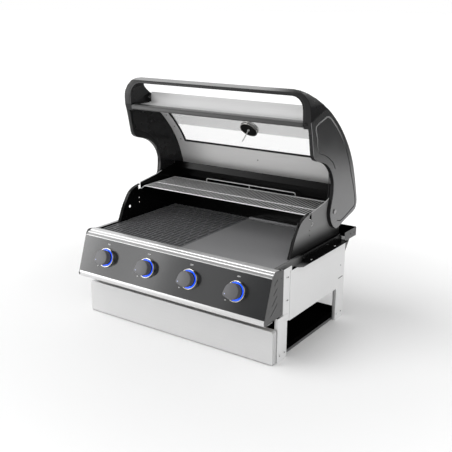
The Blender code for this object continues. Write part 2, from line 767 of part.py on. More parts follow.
def front_leg(side, sign):
    """A leg bracket: outer plate, front fold and foot."""
    name = "front_leg_" + side
    back = FRONT_LEG_FRONT + FRONT_LEG_WIDTH
    low, high = ordered(sign * panel_inner, sign * BODY_HALF_WIDTH)
    middle = (FRONT_LEG_FRONT + back) / 2
    holes = [circle((middle + sign_y * LEG_RETURN, FOOT_REACH), SCREW_HOLE, steps=8) for sign_y in (-1, 1)]
    leg = plate(name, [rectangle((FRONT_LEG_FRONT, GAP), (back, FRONT_LEG_HEIGHT)), *holes], "X", low, high, plated)
    half = sign * (BODY_HALF_WIDTH - SHEET / 2)
    fold_low, fold_high = ordered(sign * (BODY_HALF_WIDTH - LEG_RETURN), half)
    fold = block_tool(name + "_fold", (fold_low, FRONT_LEG_FRONT + GAP, SHEET / 2),
                      (fold_high, FRONT_LEG_FRONT + GAP + SHEET, FRONT_LEG_HEIGHT - GAP))
    foot_low, foot_high = ordered(sign * (BODY_HALF_WIDTH - FOOT_REACH), half)
    foot = block_tool(name + "_foot", (foot_low, FRONT_LEG_FRONT + 2 * GAP, 0), (foot_high, back - GAP, SHEET))
    join(leg, fold, foot)


def counter_flange(side, sign):
    """A Z-folded strip: top lip, web, and the flange that rests on the counter."""
    name = "counter_flange_" + side
    reach = BODY_HALF_WIDTH + FLANGE_REACH
    back = channel_front - GAP
    line = [
        (sign * (FIREBOX_HALF_WIDTH + GAP), FLANGE_TOP), (sign * FLANGE_WEB, FLANGE_TOP),
        (sign * FLANGE_WEB, flange_top_face), (sign * reach, flange_top_face),
    ]
    flange = folded(name, line, "Y", LIP_FRONT, back, plated, side=-sign)
    edge = FLANGE_FRONT + FLANGE_CORNER
    web = sign * FLANGE_WEB
    far = sign * (reach + OVERRUN)
    corner = [
        (web, LIP_FRONT - OVERRUN), (far, LIP_FRONT - OVERRUN), (far, edge + OVERRUN),
        (sign * (reach - FLANGE_CORNER), FLANGE_FRONT), (web, FLANGE_FRONT),
    ]
    trim = tool(name + "_front_cut", [corner], "Z", flange_low - OVERRUN, flange_top_face + OVERRUN)
    cut(flange, trim)
    middle = sign * (FLANGE_WEB + reach) / 2
    half = (SLOT_LENGTH - SLOT_WIDTH) / 2
    for number, slot_inset in enumerate(SLOT_INSETS, 1):
        place = FIREBOX_BACK - slot_inset
        outline = slot((middle, place - half), (middle, place + half), SLOT_WIDTH)
        hole = tool(f"{name}_slot_{number}", [outline], "Z", flange_low - OVERRUN, flange_top_face + OVERRUN)
        cut(flange, hole)


# Firebox

def firebox_side(side, sign):
    """A side wall whose wing carries the hood, with a slot for the warming rack and a folded front edge."""
    name = "firebox_side_" + side
    wing = placed(WING_SHARES, (WING_FRONT, WALL_RAIL), WING_DEPTH, WING_RISE)
    wing_high = WALL_RAIL + WING_RISE
    top = placed(WING_TOP_SHARES, (slot_back, wing_high + GROOVE), WING_TOP_BACK - slot_back, WING_TOP_RISE)
    outline = [
        (FIREBOX_FRONT, FIREBOX_BOTTOM), (FIREBOX_FRONT, WALL_RAIL), *smooth(wing), (slot_front, RACK_SLOT_BOTTOM),
        (slot_back, RACK_SLOT_BOTTOM), *top, (FIREBOX_BACK, REAR_WALL_BEND), (FIREBOX_BACK, FIREBOX_BOTTOM),
    ]
    holes = [circle(HINGE_PLACE, clear_of(PIN_RADIUS))]
    holes += [circle((WING_FRONT + y, WALL_RAIL + z), SCREW_HOLE, steps=8) for y, z in HOLES_IN_WING]
    if sign < 0:
        holes.append(circle((WING_FRONT + SPIT_IN_WING[0], WALL_RAIL + SPIT_IN_WING[1]), SPIT_HOLE))
    low, high = ordered(sign * wall_inner, sign * FIREBOX_HALF_WIDTH)
    piece = plate(name, [outline, *holes], "X", low, high, stainless)
    front = smooth(wing)
    fold_low, fold_high = ordered(sign * (FIREBOX_HALF_WIDTH - WING_FLANGE), sign * (FIREBOX_HALF_WIDTH - SHEET / 2))
    fold = tool(name + "_fold", [wall(front, GAP, SHEET)], "X", fold_low, fold_high)
    join(piece, fold)


def firebox_front_wall():
    """The front wall: a fold below, the plates' front ledge above, and a hole for each burner."""
    line = [
        (FIREBOX_FRONT + WALL_FOLD, FIREBOX_BOTTOM), (FIREBOX_FRONT, FIREBOX_BOTTOM),
        (FIREBOX_FRONT, ledge_top), (FIREBOX_FRONT + LEDGE, ledge_top),
    ]
    piece = folded("firebox_front_wall", line, "X", -inner_half_width, inner_half_width, stainless)
    for number, place in enumerate(KNOB_PLACES, 1):
        hole = rod_tool(
            f"burner_hole_{number}", clear_of(BURNER_MOUTH, ROUND), (place, FIREBOX_FRONT - OVERRUN, BURNER_HEIGHT),
            (place, FIREBOX_FRONT + OVERRUN, BURNER_HEIGHT), ROUND,
        )
        cut(piece, hole)


def firebox_rear_wall():
    """The rear wall: it leans back at its top, and carries the rear ledge and the rack's two tabs."""
    inner = FIREBOX_BACK - SHEET
    line = [
        (inner - WALL_FOLD, FIREBOX_BOTTOM), (FIREBOX_BACK, FIREBOX_BOTTOM), (FIREBOX_BACK, REAR_WALL_BEND),
        (FIREBOX_BACK + REAR_WALL_LEAN, REAR_WALL_TOP),
    ]
    piece = folded("firebox_rear_wall", line, "X", -inner_half_width, inner_half_width, stainless, side=1)
    half = FIREBOX_BACK - SHEET / 2
    ledge = block_tool("rear_ledge", (GAP - inner_half_width, inner - LEDGE, ledge_top - SHEET),
                       (inner_half_width - GAP, half, ledge_top))
    join(piece, ledge)
    tab_top = RACK_TOP - RACK_WIRE - GAP
    for side, sign in SIDES:
        middle = RACK_HALF_WIDTH - RACK_TAB_INSET
        low, high = ordered(sign * (middle - RACK_TAB_WIDTH / 2), sign * (middle + RACK_TAB_WIDTH / 2))
        tab = block_tool("rack_tab_" + side, (low, inner - RACK_TAB_DEPTH, tab_top - SHEET), (high, half, tab_top))
        join(piece, tab)
    for number, place in enumerate(KNOB_PLACES, 1):
        hole = rod_tool(
            f"burner_pin_hole_{number}", clear_of(BURNER_PIN), (place, inner - OVERRUN, BURNER_HEIGHT),
            (place, FIREBOX_BACK + OVERRUN, BURNER_HEIGHT),
        )
        cut(piece, hole)


def rear_channel():
    """A channel behind the firebox, closed by end plates that run down to the side panels as gussets."""
    width = BODY_HALF_WIDTH
    line = [
        (channel_front, CHANNEL_BOTTOM), (channel_front, CHANNEL_TOP), (CHANNEL_BACK, CHANNEL_TOP),
        (CHANNEL_BACK, CHANNEL_BOTTOM),
    ]
    channel = folded("rear_channel", line, "X", -width, width, enamel)
    notch_back = PANEL_BACK + GAP
    front, back, low_edge = channel_front + GAP, CHANNEL_BACK - GAP, CHANNEL_BOTTOM - GAP
    end = [
        (front, CHANNEL_TOP - GAP), (back, CHANNEL_TOP - GAP), (back, low_edge), (notch_back + GUSSET_DEPTH, low_edge),
        (notch_back, low_edge - GUSSET_DROP), (notch_back, flange_low + GAP), (front, flange_low + GAP),
    ]
    for side, sign in SIDES:
        outer = sign * BODY_HALF_WIDTH
        low, high = ordered(sign * post_outer, outer + sign * OVERRUN)
        notch = block_tool(
            "channel_notch_" + side, (low, channel_front - OVERRUN, CHANNEL_BOTTOM - OVERRUN),
            (high, notch_back, flange_low),
        )
        cut(channel, notch)
        end_low, end_high = ordered(sign * (panel_inner - GAP), outer - sign * GAP)
        join(channel, tool("channel_end_" + side, [end], "X", end_low, end_high))


def back_panel():
    """The panel between the rear legs, with a hole that the gas pipe leaves through."""
    outline = rectangle((-post_outer, BACK_PANEL_BOTTOM), (post_outer, CHANNEL_BOTTOM - GAP))
    hole = circle((MANIFOLD_RIGHT, MANIFOLD_LOW), clear_of(MANIFOLD_RADIUS))
    flat("back_panel", [outline, hole], "Y", PANEL_BACK - SHEET, PANEL_BACK, plated)


for side_name, side_sign in SIDES:
    side_panel(side_name, side_sign)
    front_post(side_name, side_sign)
    front_leg(side_name, side_sign)
    counter_flange(side_name, side_sign)
    firebox_side(side_name, side_sign)
firebox_front_wall()
firebox_rear_wall()
rear_channel()
back_panel()


# Fascia

slope_y = FASCIA_TOP[0] - FASCIA_BOTTOM[0]
slope_z = FASCIA_TOP[1] - FASCIA_BOTTOM[1]
slope = Vector((slope_y, slope_z)).length
fascia_lean = atan2(slope_z, slope_y)
fascia_turn = Matrix.Rotation(fascia_lean, 4, "X")
fascia_axis = axis_empty("fascia_frame", (0, *FASCIA_BOTTOM), fascia_turn)
stem_hole = clear_of(STEM_RADIUS)


def fascia_panel():
    holes = [circle((place, KNOB_UP), stem_hole) for place in KNOB_PLACES]
    outline = rectangle((-FASCIA_HALF_WIDTH, 0), (FASCIA_HALF_WIDTH, slope))
    flat("fascia_panel", [outline, *holes], "Z", -FASCIA_SHEET, 0, fascia_black, fascia_axis)


def fascia_top_trim():
    """A bright strip with a groove, which folds down behind and back to the firebox."""
    start = (FASCIA_TOP[0], FASCIA_TOP[1] + GAP)
    line = placed(TOP_TRIM_SHARES, start, TOP_TRIM_DEPTH, TOP_TRIM_RISE)
    back, high = line[-1]
    fold = high - TOP_TRIM_DROP
    line += [(back, fold), (FIREBOX_FRONT - GAP, fold)]
    trim = folded("fascia_top_trim", line, "X", -FASCIA_HALF_WIDTH, FASCIA_HALF_WIDTH, stainless)
    for side, sign in SIDES:
        low_x, high_x = ordered(sign * inner_half_width, sign * (FASCIA_HALF_WIDTH + OVERRUN))
        cut(trim, block_tool("top_trim_notch_" + side, (low_x, back, fold - OVERRUN),
                             (high_x, FIREBOX_FRONT, fold + OVERRUN)))


def fascia_bottom_trim():
    """A bright bullnose that runs back to the front legs."""
    start_y = FASCIA_BOTTOM[0]
    start_z = FASCIA_BOTTOM[1] - FASCIA_SHEET * cos(fascia_lean) - GAP
    depth = FRONT_LEG_FRONT - GAP - start_y
    line = placed(LOWER_TRIM_SHARES, (start_y, start_z - LOWER_TRIM_DROP), depth, LOWER_TRIM_DROP)
    folded("fascia_bottom_trim", line, "X", -FASCIA_HALF_WIDTH, FASCIA_HALF_WIDTH, stainless, side=1)


def fascia_end_cap(side, sign):
    """A moulded end with four sloping vent slots."""
    origin = (FASCIA_BOTTOM[0], END_CAP_BOTTOM)
    outline = placed(END_CAP_SHARES, origin, END_CAP_DEPTH, END_CAP_HEIGHT)
    vents = []
    for ends in END_CAP_SLOT_SHARES:
        first, second = placed(ends, origin, END_CAP_DEPTH, END_CAP_HEIGHT)
        vents.append(slot(first, second, END_CAP_SLOT, steps=2))
    low, high = ordered(sign * (FASCIA_HALF_WIDTH + GAP), sign * BODY_HALF_WIDTH)
    flat("fascia_end_cap_" + side, [outline, *vents], "X", low, high, fascia_black)


fascia_panel()
fascia_top_trim()
fascia_bottom_trim()
for side_name, side_sign in SIDES:
    fascia_end_cap(side_name, side_sign)


# Knobs, rings and stems

def knob_outline():
    """A disc drawn out to a rounded nose that points to the top."""
    reach = KNOB_NOSE - KNOB_NOSE_RADIUS
    lean = 90 - degrees(acos((KNOB_RADIUS - KNOB_NOSE_RADIUS) / reach))
    big = arc((0, 0), KNOB_RADIUS, 180 - lean, 360 + lean, ROUND - ROUND // 4)
    small = arc((0, reach), KNOB_NOSE_RADIUS, lean, 180 - lean, ROUND // 4)
    return big + small


def control_knob(number, axis):
    """A round base and, clear of the bezel, a teardrop grip; the stem sits in its blind bore."""
    rest = Matrix.Rotation(radians(KNOB_REST_TURN), 4, "Z")
    name = f"knob_{number}"
    knob = plate(name, [knob_outline()], "Z", KNOB_NECK, KNOB_TOP, knob_grey, axis)
    rounding = knob.modifiers.new("edge", "BEVEL")
    rounding.width = KNOB_EDGE
    rounding.segments = 2
    rounding.limit_method = "ANGLE"
    rounding.angle_limit = radians(60)
    base = rod_tool(name + "_base", KNOB_RADIUS - KNOB_EDGE / 2, (0, 0, KNOB_BASE), (0, 0, KNOB_NECK + KNOB_EDGE * 2),
                    ROUND, knob)
    base.matrix_basis = knob.matrix_basis.inverted() @ base.matrix_basis
    join(knob, base)
    bore = rod_tool(name + "_bore", stem_hole, (0, 0, KNOB_BASE - OVERRUN), (0, 0, STEM_OUT + GAP),
                    parent=knob)
    bore.matrix_basis = knob.matrix_basis.inverted() @ bore.matrix_basis
    cut(knob, bore)
    knob.matrix_basis = rest @ knob.matrix_basis


def control_bezel(number, axis):
    inner = BEZEL_RADIUS - BEZEL_WALL
    profile = [
        (BEZEL_RADIUS, GAP), (inner, GAP), (inner, BEZEL_HEIGHT - BEZEL_ROUND), (inner + BEZEL_ROUND, BEZEL_HEIGHT),
        (BEZEL_RADIUS - BEZEL_ROUND, BEZEL_HEIGHT), (BEZEL_RADIUS, BEZEL_HEIGHT - BEZEL_ROUND),
    ]
    turned(f"control_bezel_{number}", profile, chrome, parent=axis, ring=True)


def led_ring(number, axis):
    outer = BEZEL_RADIUS - BEZEL_WALL - GAP
    inner = outer - LED_RING_WIDTH
    profile = [(outer, GAP), (inner, GAP), (inner, LED_RING_HEIGHT), (outer, LED_RING_HEIGHT)]
    turned(f"led_ring_{number}", profile, led_blue, parent=axis, ring=True)


def valve_stem(number, axis):
    rod(f"valve_stem_{number}", STEM_RADIUS, (0, 0, -STEM_IN), (0, 0, STEM_OUT), plated, parent=axis)


def knob_place(place):
    """The point on the fascia's face where a knob's axis stands."""
    return Vector((place, *FASCIA_BOTTOM)) + fascia_turn @ Vector((0, KNOB_UP, 0))


# Gas train

def gas_manifold(axes):
    """The rail with its four valves and injectors, and the pipe that leaves at the back."""
    rail_y, rail_z = MANIFOLD_PLACE
    pipe_end = PANEL_BACK + INLET_OUT
    route = [
        (-MANIFOLD_LEFT, rail_y, rail_z), (MANIFOLD_RIGHT, rail_y, rail_z), (MANIFOLD_RIGHT, rail_y, MANIFOLD_LOW),
        (MANIFOLD_RIGHT, pipe_end + INLET_LENGTH / 2, MANIFOLD_LOW),
    ]
    corner = min(MANIFOLD_BEND, (rail_z - MANIFOLD_LOW) / 2)
    rail = as_mesh(tube("gas_manifold", bend(route, corner), MANIFOLD_RADIUS, brass))
    reach = FIREBOX_FRONT - BURNER_MOUTH_OUT + INJECTOR_REACH
    half = VALVE_WIDTH / 2
    for number, (place, axis) in enumerate(zip(KNOB_PLACES, axes), 1):
        centre = knob_place(place) + fascia_turn @ Vector((0, 0, -VALVE_FRONT - VALVE_LENGTH / 2))
        body = block_tool(f"valve_{number}", (-half, -half, -VALVE_FRONT - VALVE_LENGTH),
                          (half, half, -VALVE_FRONT), axis)
        neck = rod_tool(f"valve_neck_{number}", VALVE_NECK, (place, rail_y, rail_z), centre)
        injector = rod_tool(f"injector_{number}", INJECTOR_RADIUS, (place, centre.y, BURNER_HEIGHT),
                            (place, reach, BURNER_HEIGHT))
        bore = rod_tool(f"valve_bore_{number}", stem_hole, (0, 0, -STEM_IN - STEM_TRAVEL - GAP),
                        (0, 0, -VALVE_FRONT + OVERRUN), parent=axis)
        join(rail, neck, body, injector)
        cut(rail, bore)
    nut = rod_tool("inlet_nut", INLET_NUT, (MANIFOLD_RIGHT, pipe_end, MANIFOLD_LOW),
                   (MANIFOLD_RIGHT, pipe_end + INLET_NUT_LENGTH, MANIFOLD_LOW), steps=6)
    spigot = rod_tool("inlet_spigot", MANIFOLD_RADIUS + SHEET, (MANIFOLD_RIGHT, pipe_end + GAP, MANIFOLD_LOW),
                      (MANIFOLD_RIGHT, pipe_end + INLET_LENGTH, MANIFOLD_LOW))
    join(rail, nut, spigot)


def burner(number, place):
    """A tube burner: its open mouth takes the injector, and a pin holds its closed end in the rear wall."""
    mouth = FIREBOX_FRONT - BURNER_MOUTH_OUT
    end = FIREBOX_BACK - BURNER_BACK_GAP - mouth
    pin_end = FIREBOX_BACK - SHEET / 2 - mouth
    bore = BURNER_MOUTH - BURNER_MOUTH_WALL
    neck = BURNER_MOUTH_DEPTH + BURNER_MOUTH_WALL
    profile = [
        (0, pin_end), (BURNER_PIN, pin_end), (BURNER_PIN, end), (BURNER_RADIUS - BURNER_MOUTH_WALL, end),
        (BURNER_RADIUS, end - BURNER_MOUTH_WALL), (BURNER_RADIUS, neck + BURNER_FLARE), (BURNER_THROAT, neck),
        (BURNER_MOUTH, BURNER_MOUTH_DEPTH / 2), (BURNER_MOUTH, 0), (bore, 0), (BURNER_THROAT / 2, BURNER_MOUTH_DEPTH),
        (0, BURNER_MOUTH_DEPTH),
    ]
    lie = Matrix.Translation((place, mouth, BURNER_HEIGHT)) @ Matrix.Rotation(-pi / 2, 4, "X")
    turned(f"burner_{number}", profile, stainless, lie, steps=ROUND // 2)


def igniter():
    """The spark and lamp module on the back of the fascia."""
    half_x, half_y = IGNITER_SIZE[0] / 2, IGNITER_SIZE[1] / 2
    top = -FASCIA_SHEET - GAP
    block("igniter", (IGNITER_PLACE - half_x, KNOB_UP - half_y, top - IGNITER_SIZE[2]),
          (IGNITER_PLACE + half_x, KNOB_UP + half_y, top), plastic, fascia_axis)


knob_axes = []
for knob_number, knob_x in enumerate(KNOB_PLACES, 1):
    knob_axis = axis_empty(f"knob_axis_{knob_number}", knob_place(knob_x), fascia_turn)
    knob_axes.append(knob_axis)
    control_bezel(knob_number, knob_axis)
    led_ring(knob_number, knob_axis)
    control_knob(knob_number, knob_axis)
    valve_stem(knob_number, knob_axis)
    burner(knob_number, knob_x)
gas_manifold(knob_axes)
igniter()


# Cooking plates and warming rack

plate_bottom = PLATE_TOP - PLATE_THICKNESS
plate_outer = wall_inner - PLATE_SIDE_GAP
plate_inner = PLATE_SPLIT / 2


def grill_plate():
    """A cast grate: columns of slots from front to back, every second column set off by half a slot."""
    left, right = -plate_outer, -plate_inner
    front, back = PLATE_FRONT + GRILL_RIM, PLATE_BACK - GRILL_RIM
    across = (right - left - 2 * GRILL_RIM + GRILL_BAR) / GRILL_COLUMNS
    down = (back - front + GRILL_TIE) / GRILL_ROWS
    slots = []
    for column in range(GRILL_COLUMNS):
        start_x = left + GRILL_RIM + column * across
        shift = down / 2 * (column % 2)
        for row in range(GRILL_ROWS + column % 2):
            start_y = max(front, front + row * down - shift)
            end_y = min(back, front + (row + 1) * down - GRILL_TIE - shift)
            slots.append(rectangle((start_x, start_y), (start_x + across - GRILL_BAR, end_y)))
    outline = rectangle((left, PLATE_FRONT), (right, PLATE_BACK))
    flat("grill_plate", [outline, *slots], "Z", plate_bottom, PLATE_TOP, iron)


def hot_plate():
    """A cast plate: hollow below inside its rim, with a lip and a row of drain slots at the back."""
    left, right = plate_inner, plate_outer
    piece = block("hot_plate", (left, PLATE_FRONT, plate_bottom), (right, PLATE_BACK, PLATE_TOP), iron)
    hollow = block_tool(
        "hot_plate_hollow", (left + HOTPLATE_RIM, PLATE_FRONT + HOTPLATE_RIM, plate_bottom - OVERRUN),
        (right - HOTPLATE_RIM, PLATE_BACK - HOTPLATE_RIM, PLATE_TOP - HOTPLATE_SKIN),
    )
    cut(piece, hollow)
    lip = block_tool("hot_plate_lip", (left + GAP, PLATE_BACK - HOTPLATE_LIP, PLATE_TOP - HOTPLATE_SKIN / 2),
                     (right - GAP, PLATE_BACK - GAP, PLATE_TOP + HOTPLATE_LIP_HEIGHT))
    join(piece, lip)
    span = right - left - 2 * DRAIN_SLOT_GAP
    length = (span + DRAIN_SLOT_GAP) / DRAIN_SLOTS - DRAIN_SLOT_GAP
    middle = PLATE_BACK - HOTPLATE_LIP - DRAIN_SLOT_WIDTH * 2
    for number in range(DRAIN_SLOTS):
        start = left + DRAIN_SLOT_GAP + number * (length + DRAIN_SLOT_GAP) + DRAIN_SLOT_WIDTH / 2
        outline = slot((start, middle), (start + length - DRAIN_SLOT_WIDTH, middle), DRAIN_SLOT_WIDTH)
        cut(piece, tool(f"drain_slot_{number + 1}", [outline], "Z", plate_bottom - OVERRUN, PLATE_TOP + OVERRUN))


def warming_rack():
    """A wire rack: it hooks into the side walls' slots, rests on the rear tabs and has a stop at the back."""
    half = RACK_HALF_WIDTH
    frame = 2 * RACK_ROD
    pitch = (2 * half - 2 * frame + RACK_WIRE) / (RACK_WIRES + 1)
    columns = [-half]
    for column in range(RACK_WIRES + 1):
        start = -half + frame + column * pitch
        columns += [start, start + pitch - RACK_WIRE]
    columns.append(half)
    rows = [RACK_FRONT, RACK_FRONT + frame, RACK_CROSS, RACK_CROSS + RACK_WIRE, RACK_BACK - frame, RACK_BACK]
    rack = grille("warming_rack", columns, rows, RACK_TOP, RACK_WIRE, chrome)
    hook_z = RACK_SLOT_BOTTOM + RACK_BEND + GAP
    wire_z = RACK_TOP - RACK_WIRE / 2
    for side, sign in SIDES:
        tip = sign * (FIREBOX_HALF_WIDTH - GAP)
        bend_x = sign * (half + frame)
        root = (sign * (half - RACK_ROD), RACK_FRONT + RACK_ROD, wire_z)
        hook = tube_tool(
            "rack_hook_" + side, [(tip, slot_middle, hook_z), (bend_x, slot_middle, hook_z), root], RACK_BEND
        )
        join(rack, hook)
    stop_y = RACK_BACK - RACK_ROD
    stop_z = RACK_TOP + RACK_STOP_RISE - RACK_BEND
    ends = half - RACK_STOP_END
    bar = tube_tool(
        "rack_stop", [(-ends, stop_y, wire_z), (-ends, stop_y, stop_z), (ends, stop_y, stop_z), (ends, stop_y, wire_z)],
        RACK_BEND,
    )
    post = rod_tool("rack_stop_post", RACK_WIRE / 2, (0, stop_y, wire_z), (0, stop_y, stop_z), steps=6)
    join(rack, bar, post)


grill_plate()
hot_plate()
warming_rack()


# Hood, in (Y, Z) from the hinge

def hood_points(table):
    return placed(table, (0, 0), HOOD_DEPTH, HOOD_HEIGHT)


hood_axis = axis_empty("hood_axis", (0, *HINGE_PLACE))
seam_front, seam_back = hood_points((SEAM_FRONT_SHARE, SEAM_BACK_SHARE))
seam_ahead = (seam_back - seam_front).normalized()
seam_step = Vector((seam_ahead.y, -seam_ahead.x)) * GAP
back_line = smooth([seam_back + seam_step, *hood_points(BACK_CURVE_SHARES)])
ear_line = smooth([back_line[-1], *hood_points(EAR_CURVE_SHARES)])
front_line = smooth([ear_line[-1], *hood_points(FRONT_CURVE_SHARES[1:]), seam_front + seam_step])
cap_line = back_line + ear_line[1:] + front_line[1:]
cap_inner = HOOD_HALF_WIDTH - CAP_THICKNESS
rim_inner = HOOD_HALF_WIDTH - RIM_DEPTH
sheet_half = cap_inner - GAP
glass_inset = RIM + GAP
seal_inset = glass_inset + GLASS_THICKNESS + GAP + SEAL_RADIUS
liner_inset = seal_inset + SEAL_RADIUS + GAP
glass_line = stretch(back_line, POCKET_START_SHARE * 2, GLASS_END_SHARE)
skin_line = stretch(back_line, GLASS_END_SHARE + SKIN_GAP_SHARE, 1)


def hood_cap(side, sign):
    """A cast end: a plate, a rim that the window and the skin lie under, and a groove on both faces."""
    name = "hood_cap_" + side
    outer = sign * HOOD_HALF_WIDTH
    inner = sign * cap_inner
    hole = circle((0, 0), clear_of(PIN_RADIUS))
    low, high = ordered(sign * rim_inner, outer)
    cap = plate(name, [cap_line, hole], "X", low, high, cast_black, hood_axis)
    pocket_back = inset(stretch(back_line, POCKET_START_SHARE, 1), RIM)
    pocket_ear = inset(ear_line, -RIM)
    pocket_front = inset(stretch(front_line, 0, POCKET_END_SHARE), RIM)
    low, high = ordered(sign * (rim_inner - OVERRUN), inner)
    pocket = tool(name + "_pocket", [pocket_back + pocket_ear + pocket_front], "X", low, high, hood_axis)
    groove = stretch(cap_line[::CURVE_STEPS], POCKET_START_SHARE * 2, 1 - POCKET_START_SHARE * 2)
    outline = wall(groove, GROOVE_INSET, GROOVE)
    low, high = ordered(outer - sign * GROOVE_DEPTH, outer + sign * OVERRUN)
    outer_groove = tool(name + "_outer_groove", [outline], "X", low, high, hood_axis)
    low, high = ordered(inner - sign * OVERRUN, inner + sign * GROOVE_DEPTH)
    inner_groove = tool(name + "_inner_groove", [outline], "X", low, high, hood_axis)
    cut(cap, pocket, outer_groove, inner_groove)


def hood_handle():
    """The loop that stands on the two caps: a band bent to a U, trimmed to the hood's side outline."""
    shape = hood_points(HANDLE_SHARES)
    top = shape[2].y
    low = seam_front.y - OVERRUN
    outer, inner = HOOD_HALF_WIDTH, rim_inner
    big, small = HANDLE_OUTER_CORNER, HANDLE_INNER_CORNER
    under = top - HANDLE_TOP_BAR
    outline = [Vector((-outer, low))]
    outline += arc((big - outer, top - big), big, 180, 90, ROUND // 4)
    outline += arc((outer - big, top - big), big, 90, 0, ROUND // 4)
    outline += [Vector((outer, low)), Vector((inner, low))]
    outline += arc((inner - small, under - small), small, 0, 90, ROUND // 4)
    outline += arc((small - inner, under - small), small, 90, 180, ROUND // 4)
    outline.append(Vector((-inner, low)))
    front = min(point.x for point in shape)
    handle = plate("hood_handle", [outline], "Y", front - OVERRUN, seam_back.x + OVERRUN, cast_black, hood_axis)
    side = [seam_front, *shape, seam_back]
    keep_inside(handle, tool("handle_side", [side], "X", -outer - OVERRUN, outer + OVERRUN, hood_axis))


rail_top = seam_front.y - GAP
rail_front = seam_front.x + GAP
rail_back = rail_front + RAIL_DEPTH


def hood_front_rail():
    """A box section with a rounded front, open at its ends."""
    low = rail_top - RAIL_HEIGHT
    corner = RAIL_ROUND
    outline = arc((rail_front + corner, low + corner), corner, 270, 180, 3)
    outline += arc((rail_front + corner, rail_top - corner), corner, 180, 90, 3)
    outline += [(rail_back, rail_top), (rail_back, low)]
    inside = arc((rail_front + corner, low + corner), corner - RAIL_WALL, 270, 180, 2)
    inside += arc((rail_front + corner, rail_top - corner), corner - RAIL_WALL, 180, 90, 2)
    inside += [(rail_back - RAIL_WALL, rail_top - RAIL_WALL), (rail_back - RAIL_WALL, low + RAIL_WALL)]
    half = rim_inner - GAP
    flat("hood_front_rail", [outline, inside], "X", -half, half, stainless, hood_axis)


def hood_header():
    """The bright panel that closes the gap between the rail and the window."""
    face = min(wall([*glass_line], glass_inset, GLASS_THICKNESS)[-1].x, inset(glass_line, glass_inset)[0].x) - GAP
    low = rail_top - HEADER_DROP
    line = [(rail_back + GAP, low), (face, low), (face, low + HEADER_RISE)]
    half = rim_inner - GAP
    folded("hood_header_panel", line, "X", -half, half, stainless, side=1, parent=hood_axis)


def window_glass():
    piece = plate("window_glass", [wall(glass_line, glass_inset, GLASS_THICKNESS)], "X", -sheet_half, sheet_half,
                  window, hood_axis)
    place, normal = thermometer_place()
    reach = normal * (GLASS_THICKNESS + OVERRUN)
    hole = rod_tool("thermometer_hole", clear_of(THERMOMETER_NECK), place - reach, place + normal * OVERRUN,
                    parent=hood_axis)
    cut(piece, hole)


def hood_skin():
    flat("hood_skin", [wall(skin_line, glass_inset, SHEET)], "X", -sheet_half, sheet_half, cast_black, hood_axis)


def hood_inner_frame():
    """The bright liner: a strip beside each cap and a band below the window."""
    line = stretch(back_line, LINER_START_SHARE, LINER_END_SHARE)
    piece = plate("hood_inner_frame", [wall(line, liner_inset, SHEET)], "X", -sheet_half, sheet_half, stainless,
                  hood_axis)
    opening = stretch(back_line, LINER_START_SHARE / 2, WINDOW_END_SHARE)
    outline = wall(opening, liner_inset - OVERRUN, SHEET + 2 * OVERRUN)
    cut(piece, tool("window_opening", [outline], "X", -WINDOW_HALF_WIDTH, WINDOW_HALF_WIDTH, hood_axis))


def window_seal():
    """A rope seal round the window, between the glass and the liner."""
    end = (WINDOW_END_SHARE + GLASS_END_SHARE) / 2
    start = LINER_START_SHARE * 2 - POCKET_START_SHARE
    line = inset(stretch(back_line, start, end), seal_inset)
    half = WINDOW_HALF_WIDTH + SEAL_MARGIN
    corner = SEAL_MARGIN
    side = [(half, *point) for point in line[1:-1]]
    top, bottom = line[0], line[-1]
    loop = [(half - corner, *top), *side, (half - corner, *bottom), (corner - half, *bottom)]
    loop += [(-x, y, z) for x, y, z in side[::-1]]
    loop.append((corner - half, *top))
    tube("window_seal", loop, SEAL_RADIUS, rubber, closed=True, parent=hood_axis)


def thermometer_place():
    """The middle of the thermometer on the outside of the glass, and the way out from it."""
    point, ahead = along(back_line, THERMOMETER_SHARE)
    out = Vector((-ahead.y, ahead.x))
    face = point - out * glass_inset
    return Vector((0, *face)), Vector((0, *out))


def thermometer():
    """A dial outside the glass, held by a nut inside it, with its probe in the hood."""
    place, normal = thermometer_place()
    below = -GLASS_THICKNESS - THERMOMETER_SEAT
    nut = below - THERMOMETER_NUT_HEIGHT
    profile = [
        (0, THERMOMETER_HEIGHT), (THERMOMETER_RADIUS - THERMOMETER_BEZEL, THERMOMETER_HEIGHT),
        (THERMOMETER_RADIUS, THERMOMETER_HEIGHT - THERMOMETER_BEZEL), (THERMOMETER_RADIUS, 2 * GAP),
        (THERMOMETER_NECK, 2 * GAP), (THERMOMETER_NECK, below), (THERMOMETER_NUT, below), (THERMOMETER_NUT, nut),
        (PROBE_RADIUS, nut), (PROBE_RADIUS, -PROBE_LENGTH), (0, -PROBE_LENGTH),
    ]
    turn = Matrix.Rotation(atan2(-normal.y, normal.z), 4, "X")
    turned("hood_thermometer", profile, chrome, Matrix.Translation(place) @ turn, parent=hood_axis)


def hinge_pin(side, sign):
    """A shouldered pin through the side wall and the cap."""
    top = HOOD_HALF_WIDTH + GAP
    low = wall_inner - GAP
    profile = [
        (0, top + PIN_HEAD_HEIGHT), (PIN_HEAD, top + PIN_HEAD_HEIGHT), (PIN_HEAD, top), (PIN_RADIUS, top),
        (PIN_RADIUS, cap_inner - GAP), (PIN_HEAD, cap_inner - GAP), (PIN_HEAD, FIREBOX_HALF_WIDTH + GAP),
        (PIN_RADIUS, FIREBOX_HALF_WIDTH + GAP), (PIN_RADIUS, low), (PIN_HEAD, low), (PIN_HEAD, low - PIN_HEAD_HEIGHT),
        (0, low - PIN_HEAD_HEIGHT),
    ]
    turn = Matrix.Rotation(sign * pi / 2, 4, "Y")
    turned("hinge_pin_" + side, profile, plated, Matrix.Translation((0, *HINGE_PLACE)) @ turn, steps=ROUND // 2)


